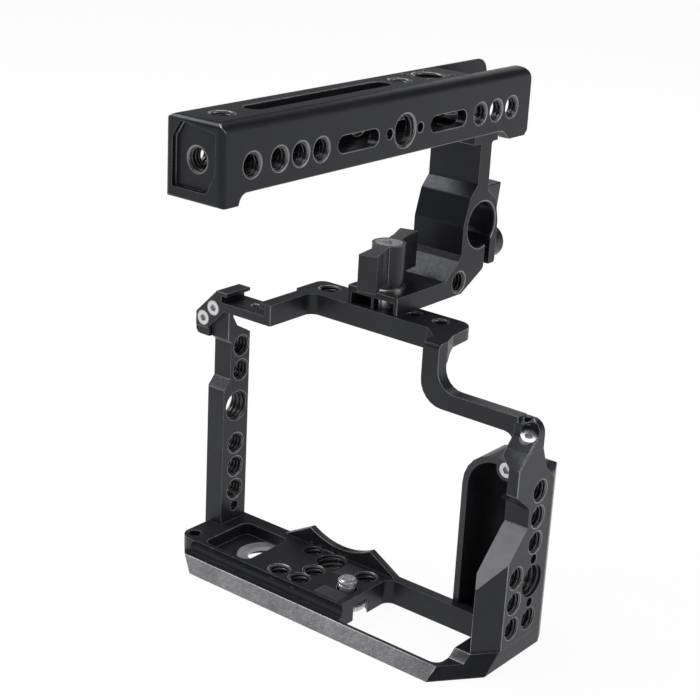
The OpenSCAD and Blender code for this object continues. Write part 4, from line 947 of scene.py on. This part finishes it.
@dataclass
class CameraScrew:
    """The captive slotted screw under the deck: a turned profile, a coin slot and a rolled thread."""

    axis: tuple[float, float] = (8.5, -17.0)
    head_r: float = 6.2
    head_z: tuple[float, float] = (2.5, 4.6)
    neck_r: float = 2.45
    thread_r: float = 3.05
    thread_z: tuple[float, float] = (8.6, 11.7)
    core_inset: float = 0.35
    ridge_inset: float = 0.45
    end_gap: float = 0.05
    slot_w: float = 1.5
    slot_d: float = 1.1
    slot_turn: float = 0.6
    knurls: int = 40
    knurl_inset: float = 0.1
    knurl_depth: float = 0.18
    knurl_points: int = 3

    def build(self, cutter: ThreadCutter) -> None:
        """Makes the screw and its thread and lets them stand for the solid.

        Args:
            cutter: The thread cutter.
        """
        low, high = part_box("camera_screw")
        piece = mesh_object("camera_screw_turned", self._turned(self._profile(high[2] / MM - self.end_gap)))
        self._cut_slot(piece)
        piece.data.materials.clear()
        piece.data.materials.append(TURNED_STEEL.build())
        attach(piece, "camera_screw")
        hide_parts("camera_screw")
        length = self.thread_z[1] - self.thread_z[0]
        rows = [ThreadRow(Axis.Z, self.thread_r, QUARTER[1], length, ((*self.axis, self.thread_z[0]),))]
        thread = cutter.piece("camera_screw_rolled_thread", rows, TURNED_STEEL, inset=self.ridge_inset)
        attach(thread, "camera_screw")
        LOG.info("camera_screw_turned: head %.1f mm, low %.1f mm", 2 * self.head_r, low[2] / MM)

    @property
    def knurl_r(self) -> float:
        """The radius of the head's knurled rim."""
        return self.head_r - self.knurl_inset

    def _profile(self, top: float) -> list[tuple[float, float]]:
        """Draws the screw's profile: slotted face, knurled rim, neck and threaded end.

        Args:
            top: The height of the threaded end (mm).

        Returns:
            Radius and height of each point (mm), from the bottom to the top.
        """
        core = self.thread_r - self.core_inset
        face, seat = self.head_z
        start, stop = self.thread_z
        return [(0.0, face), (self.head_r - 0.7, face), (self.head_r - 0.25, face + 0.25),
                (self.knurl_r, face + 0.6), (self.knurl_r, seat - 0.4), (self.head_r - 0.4, seat),
                (self.neck_r + 0.3, seat), (self.neck_r, seat + 0.3), (self.neck_r, start - 0.2),
                (core, start), (core, stop - 0.4), (core - 0.4, top), (0.0, top)]

    def _turned(self, profile: list[tuple[float, float]]) -> bpy.types.Mesh:
        """Turns a profile about the screw's axis, with a knurled head.

        Args:
            profile: Radius and height of each point (mm), from the bottom to the top.

        Returns:
            The closed mesh.
        """
        body = bmesh.new()
        count = self.knurls * self.knurl_points
        rings: list[list[bmesh.types.BMVert]] = []
        for radius, height in profile:
            if radius == 0.0:
                rings.append([body.verts.new((self.axis[0] * MM, self.axis[1] * MM, height * MM))])
                continue
            ring = []
            for i in range(count):
                angle = 2 * math.pi * i / count
                knurled = math.isclose(radius, self.knurl_r) and i % self.knurl_points == 0
                reach = radius - (self.knurl_depth if knurled else 0.0)
                ring.append(body.verts.new(((self.axis[0] + reach * math.cos(angle)) * MM,
                                            (self.axis[1] + reach * math.sin(angle)) * MM, height * MM)))
            rings.append(ring)
        for a, b in zip(rings, rings[1:]):
            for i in range(count):
                k = (i + 1) % count
                if len(a) == 1:
                    body.faces.new((a[0], b[k], b[i]))
                elif len(b) == 1:
                    body.faces.new((a[i], a[k], b[0]))
                else:
                    body.faces.new((a[i], a[k], b[k], b[i]))
        bmesh.ops.recalc_face_normals(body, faces=body.faces)
        for edge in body.edges:
            edge.smooth = edge.calc_face_angle(0.0) < TURNED_SMOOTH_ANGLE
        for face in body.faces:
            face.smooth = True
        mesh = bpy.data.meshes.new("camera_screw_turned")
        body.to_mesh(mesh)
        body.free()
        return mesh

    def _cut_slot(self, piece: bpy.types.Object) -> None:
        """Cuts the coin slot across the underside of the head.

        Args:
            piece: The turned screw.
        """
        body = bmesh.new()
        bmesh.ops.create_cube(body, size=1.0)
        size = Vector((4 * self.head_r, self.slot_w, 2 * self.slot_d)) * MM
        for vert in body.verts:
            vert.co = Vector((vert.co.x * size.x, vert.co.y * size.y, vert.co.z * size.z))
        bmesh.ops.rotate(body, verts=body.verts, cent=(0, 0, 0),
                         matrix=Matrix.Rotation(self.slot_turn, 3, "Z"))
        bmesh.ops.translate(body, verts=body.verts, vec=Vector((*self.axis, self.head_z[0])) * MM)
        mesh = bpy.data.meshes.new("coin_slot")
        body.to_mesh(mesh)
        body.free()
        cutter = mesh_object("coin_slot", mesh)
        cut = piece.modifiers.new("slot", "BOOLEAN")
        cut.operation = "DIFFERENCE"
        cut.object = cutter
        plain_mesh(piece)
        bpy.data.objects.remove(cutter)


@dataclass
class SmallParts:
    """Screws, washers, dowels, ring and pads that keep their solids and take a finish."""

    finishes: dict[str, Finish] = field(default_factory=lambda: {
        "left_corner_screws": STEEL, "right_corner_screw": STEEL, "grip_shell_screw": STEEL,
        "grip_shell_base_screw": STEEL, "side_plate_screws": STEEL, "side_plate_dowels": STEEL,
        "window_ring": RING, "rubber_pads": RUBBER, "handle_screws": STEEL,
        "camera_screw_washer": NYLON, "foot_knob_washer": STEEL_WASHER, "foot_knob_screw": STEEL,
        "rod_clamp_washer": STEEL, "rod_clamp_screw": STEEL})

    def build(self, frame: dict, dressed: set[str]) -> None:
        """Gives every solid that is still shown its finish.

        Args:
            frame: The loaded frame.
            dressed: Names of the nodes that already have a dressed copy.
        """
        for name, solid in frame["nodes"].items():
            if name in dressed:
                continue
            finish = self.finishes.get(name, ANODISED)
            material = finish.build()
            if not solid.material_slots:
                solid.data.materials.append(material)
            for slot in solid.material_slots:
                slot.material = material
            LOG.info("%s: %s", name, finish.name)


@dataclass
class Studio:
    """Floor, world, lamps and camera of the plain studio."""

    lens: float = 83.2
    eye: Point = (0.2823, -0.3745, 0.2502)
    right: Point = (0.7773, 0.6270, 0.0507)
    up: Point = (-0.2511, 0.2353, 0.9388)
    back: Point = (0.5768, -0.7426, 0.3404)
    floor_z: float = -0.0002
    floor_half: float = 4.0
    floor_colour: float = 0.9
    floor_glow: float = 0.94
    world_light: float = 0.55
    gloss_span: tuple[float, float] = (0.0, 0.22)
    gloss_light: tuple[float, float] = (0.9, 0.09)
    lamps: tuple[tuple[str, Point, float, float], ...] = (
        ("key_softbox", (-0.58, -0.22, 0.79), 6.0, 0.55),
        ("side_softbox", (0.85, 0.35, 0.35), 2.4, 0.7),
        ("top_softbox", (-0.13, 0.21, 0.96), 2.5, 0.5),
        ("rear_softbox", (-0.25, 0.95, 0.45), 1.0, 0.5),
        ("front_softbox", (0.25, -0.95, 0.35), 0.4, 0.7),
    )
    reach: float = 1.0
    aim: Point = (0.0, 0.0, 0.08)
    sensor: float = 36.0
    clip: float = 0.01

    def build(self) -> None:
        """Builds the whole studio."""
        self._floor()
        self._world()
        self._lamps()
        self._camera()

    def _floor(self) -> None:
        """Lays a pale floor that keeps the object's shadow."""
        h = self.floor_half
        mesh = bpy.data.meshes.new("studio_floor")
        mesh.from_pydata([(-h, -h, self.floor_z), (h, -h, self.floor_z), (h, h, self.floor_z),
                          (-h, h, self.floor_z)], [], [(0, 1, 2, 3)])
        floor = mesh_object("studio_floor", mesh)
        material = bpy.data.materials.new("studio_floor")
        material.use_nodes = True
        sheet = NodeSheet(material.node_tree)
        out = sheet.add("ShaderNodeOutputMaterial")
        matt = sheet.add("ShaderNodeBsdfDiffuse")
        matt.inputs["Color"].default_value = (*[self.floor_colour] * 3, 1.0)
        glow = sheet.add("ShaderNodeEmission", Strength=1.0)
        path = sheet.add("ShaderNodeLightPath")
        seen = sheet.maths("MAXIMUM", path.outputs["Is Camera Ray"], sheet.shiny_ray(path))
        mixed = sheet.blend(sheet.maths("MULTIPLY", seen, self.floor_glow), matt, glow)
        sheet.link(mixed.outputs[0], out.inputs["Surface"])
        mesh.materials.append(material)

    def _world(self) -> None:
        """Makes a white background and a plain, darker surrounding for gloss."""
        world = bpy.data.worlds.new("studio")
        bpy.context.scene.world = world
        world.use_nodes = True
        sheet = NodeSheet(world.node_tree)
        out = sheet.add("ShaderNodeOutputWorld")
        soft = sheet.add("ShaderNodeBackground", Strength=self.world_light)
        white = sheet.add("ShaderNodeBackground", Strength=1.0)
        gloss = sheet.add("ShaderNodeBackground", Strength=1.0)
        coords = sheet.add("ShaderNodeTexCoord")
        parts = sheet.add("ShaderNodeSeparateXYZ")
        sheet.link(coords.outputs["Generated"], parts.inputs[0])
        level = sheet.remap(parts.outputs["Z"], self.gloss_span, self.gloss_light)
        sheet.link(level, gloss.inputs["Strength"])
        path = sheet.add("ShaderNodeLightPath")
        shiny = sheet.blend(sheet.shiny_ray(path), soft, gloss)
        seen = sheet.blend(path.outputs["Is Camera Ray"], shiny, white)
        sheet.link(seen.outputs[0], out.inputs["Surface"])

    def _lamps(self) -> None:
        """Hangs the soft boxes round the object."""
        for name, way, power, size in self.lamps:
            lamp = bpy.data.lights.new(name, "AREA")
            lamp.energy = power
            lamp.size = size
            box = bpy.data.objects.new(name, lamp)
            place = Vector(self.aim) + Vector(way).normalized() * self.reach
            box.matrix_world = (Matrix.Translation(place)
                                @ Vector(way).to_track_quat("Z", "Y").to_matrix().to_4x4())
            bpy.context.scene.collection.objects.link(box)

    def _camera(self) -> None:
        """Sets the camera at the photograph's view."""
        data = bpy.data.cameras.new("view")
        data.lens = self.lens
        data.sensor_width = self.sensor
        data.clip_start = self.clip
        camera = bpy.data.objects.new("view", data)
        columns = Matrix((self.right, self.up, self.back)).transposed().to_4x4()
        camera.matrix_world = Matrix.Translation(self.eye) @ columns
        bpy.context.scene.collection.objects.link(camera)
        scene = bpy.context.scene
        scene.camera = camera
        scene.view_settings.view_transform = "Standard"


def castings() -> list[Casting]:
    """Returns the machined parts of the cage, in the order of assembly.

    An accent is given by its faces' normal, then by the low and high corner of the box that holds them
    (mm).

    Returns:
        The castings, with their edges and accents.
    """
    # Painted sheen on the base's slanted strip, which faces the key light.
    lit_strip = Accent((0, -0.60, 0.80), (-57.0, -60.0, -1.0), (57.0, 0.0, 20.0), BRUSHED, 0.97)
    # Painted highlight on the thumb ledge, which faces the key light.
    lit_ledge = Accent((0, -0.72, 0.69), (50.0, -25.0, 28.0), (64.0, -2.0, 46.0), LEDGE_PAINTED_HIGHLIGHT, 0.97)
    # Painted highlight on the tab's chamfer faces.
    tab_highlight = Accent((0.5, -0.7, 0.5), (50.0, -15.0, 58.0), (64.0, 4.0, 78.0), CHAMFER_PAINTED_HIGHLIGHT, 0.93)
    knob_top = Accent((0, 0, 1), (-14.0, 9.0, 109.0), (0.0, 22.0, 112.0), KNOB_TOP)
    return [
        Casting("base_frame", ANODISED, "black_frame", accents=[lit_strip]),
        Casting("top_bar", ANODISED, "black_frame", accents=[tab_highlight]),
        Casting("right_side_plate", ANODISED, "black_frame", accents=[lit_ledge, tab_highlight]),
        Casting("grip_shell", SHELL, "dark_shell", edge=0.28, worn_edge_highlight=SHELL_EDGE_HIGHLIGHT),
        Casting("handle_bar", HANDLE, "black_handle", edge=0.28),
        Casting("handle_post", HANDLE, "black_handle", edge=0.24),
        Casting("foot_knob", KNOB, "black_knob", edge=0.2, accents=[knob_top]),
        Casting("rod_clamp_knob", KNOB, "black_knob", edge=0.2),
    ]


def main() -> None:
    """Builds every piece of the cage and the studio round it."""
    logging.basicConfig(level=logging.INFO, format="%(name)s %(message)s")
    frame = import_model()
    dressed: set[str] = set()
    for casting in castings():
        casting.build(frame)
        dressed.add(casting.node)
    cutter = ThreadCutter()
    TappedHoles().build(cutter)
    CameraScrew().build(cutter)
    dressed.add("camera_screw")
    SmallParts().build(frame, dressed)
    Studio().build()


if __name__ == "__main__":
    main()
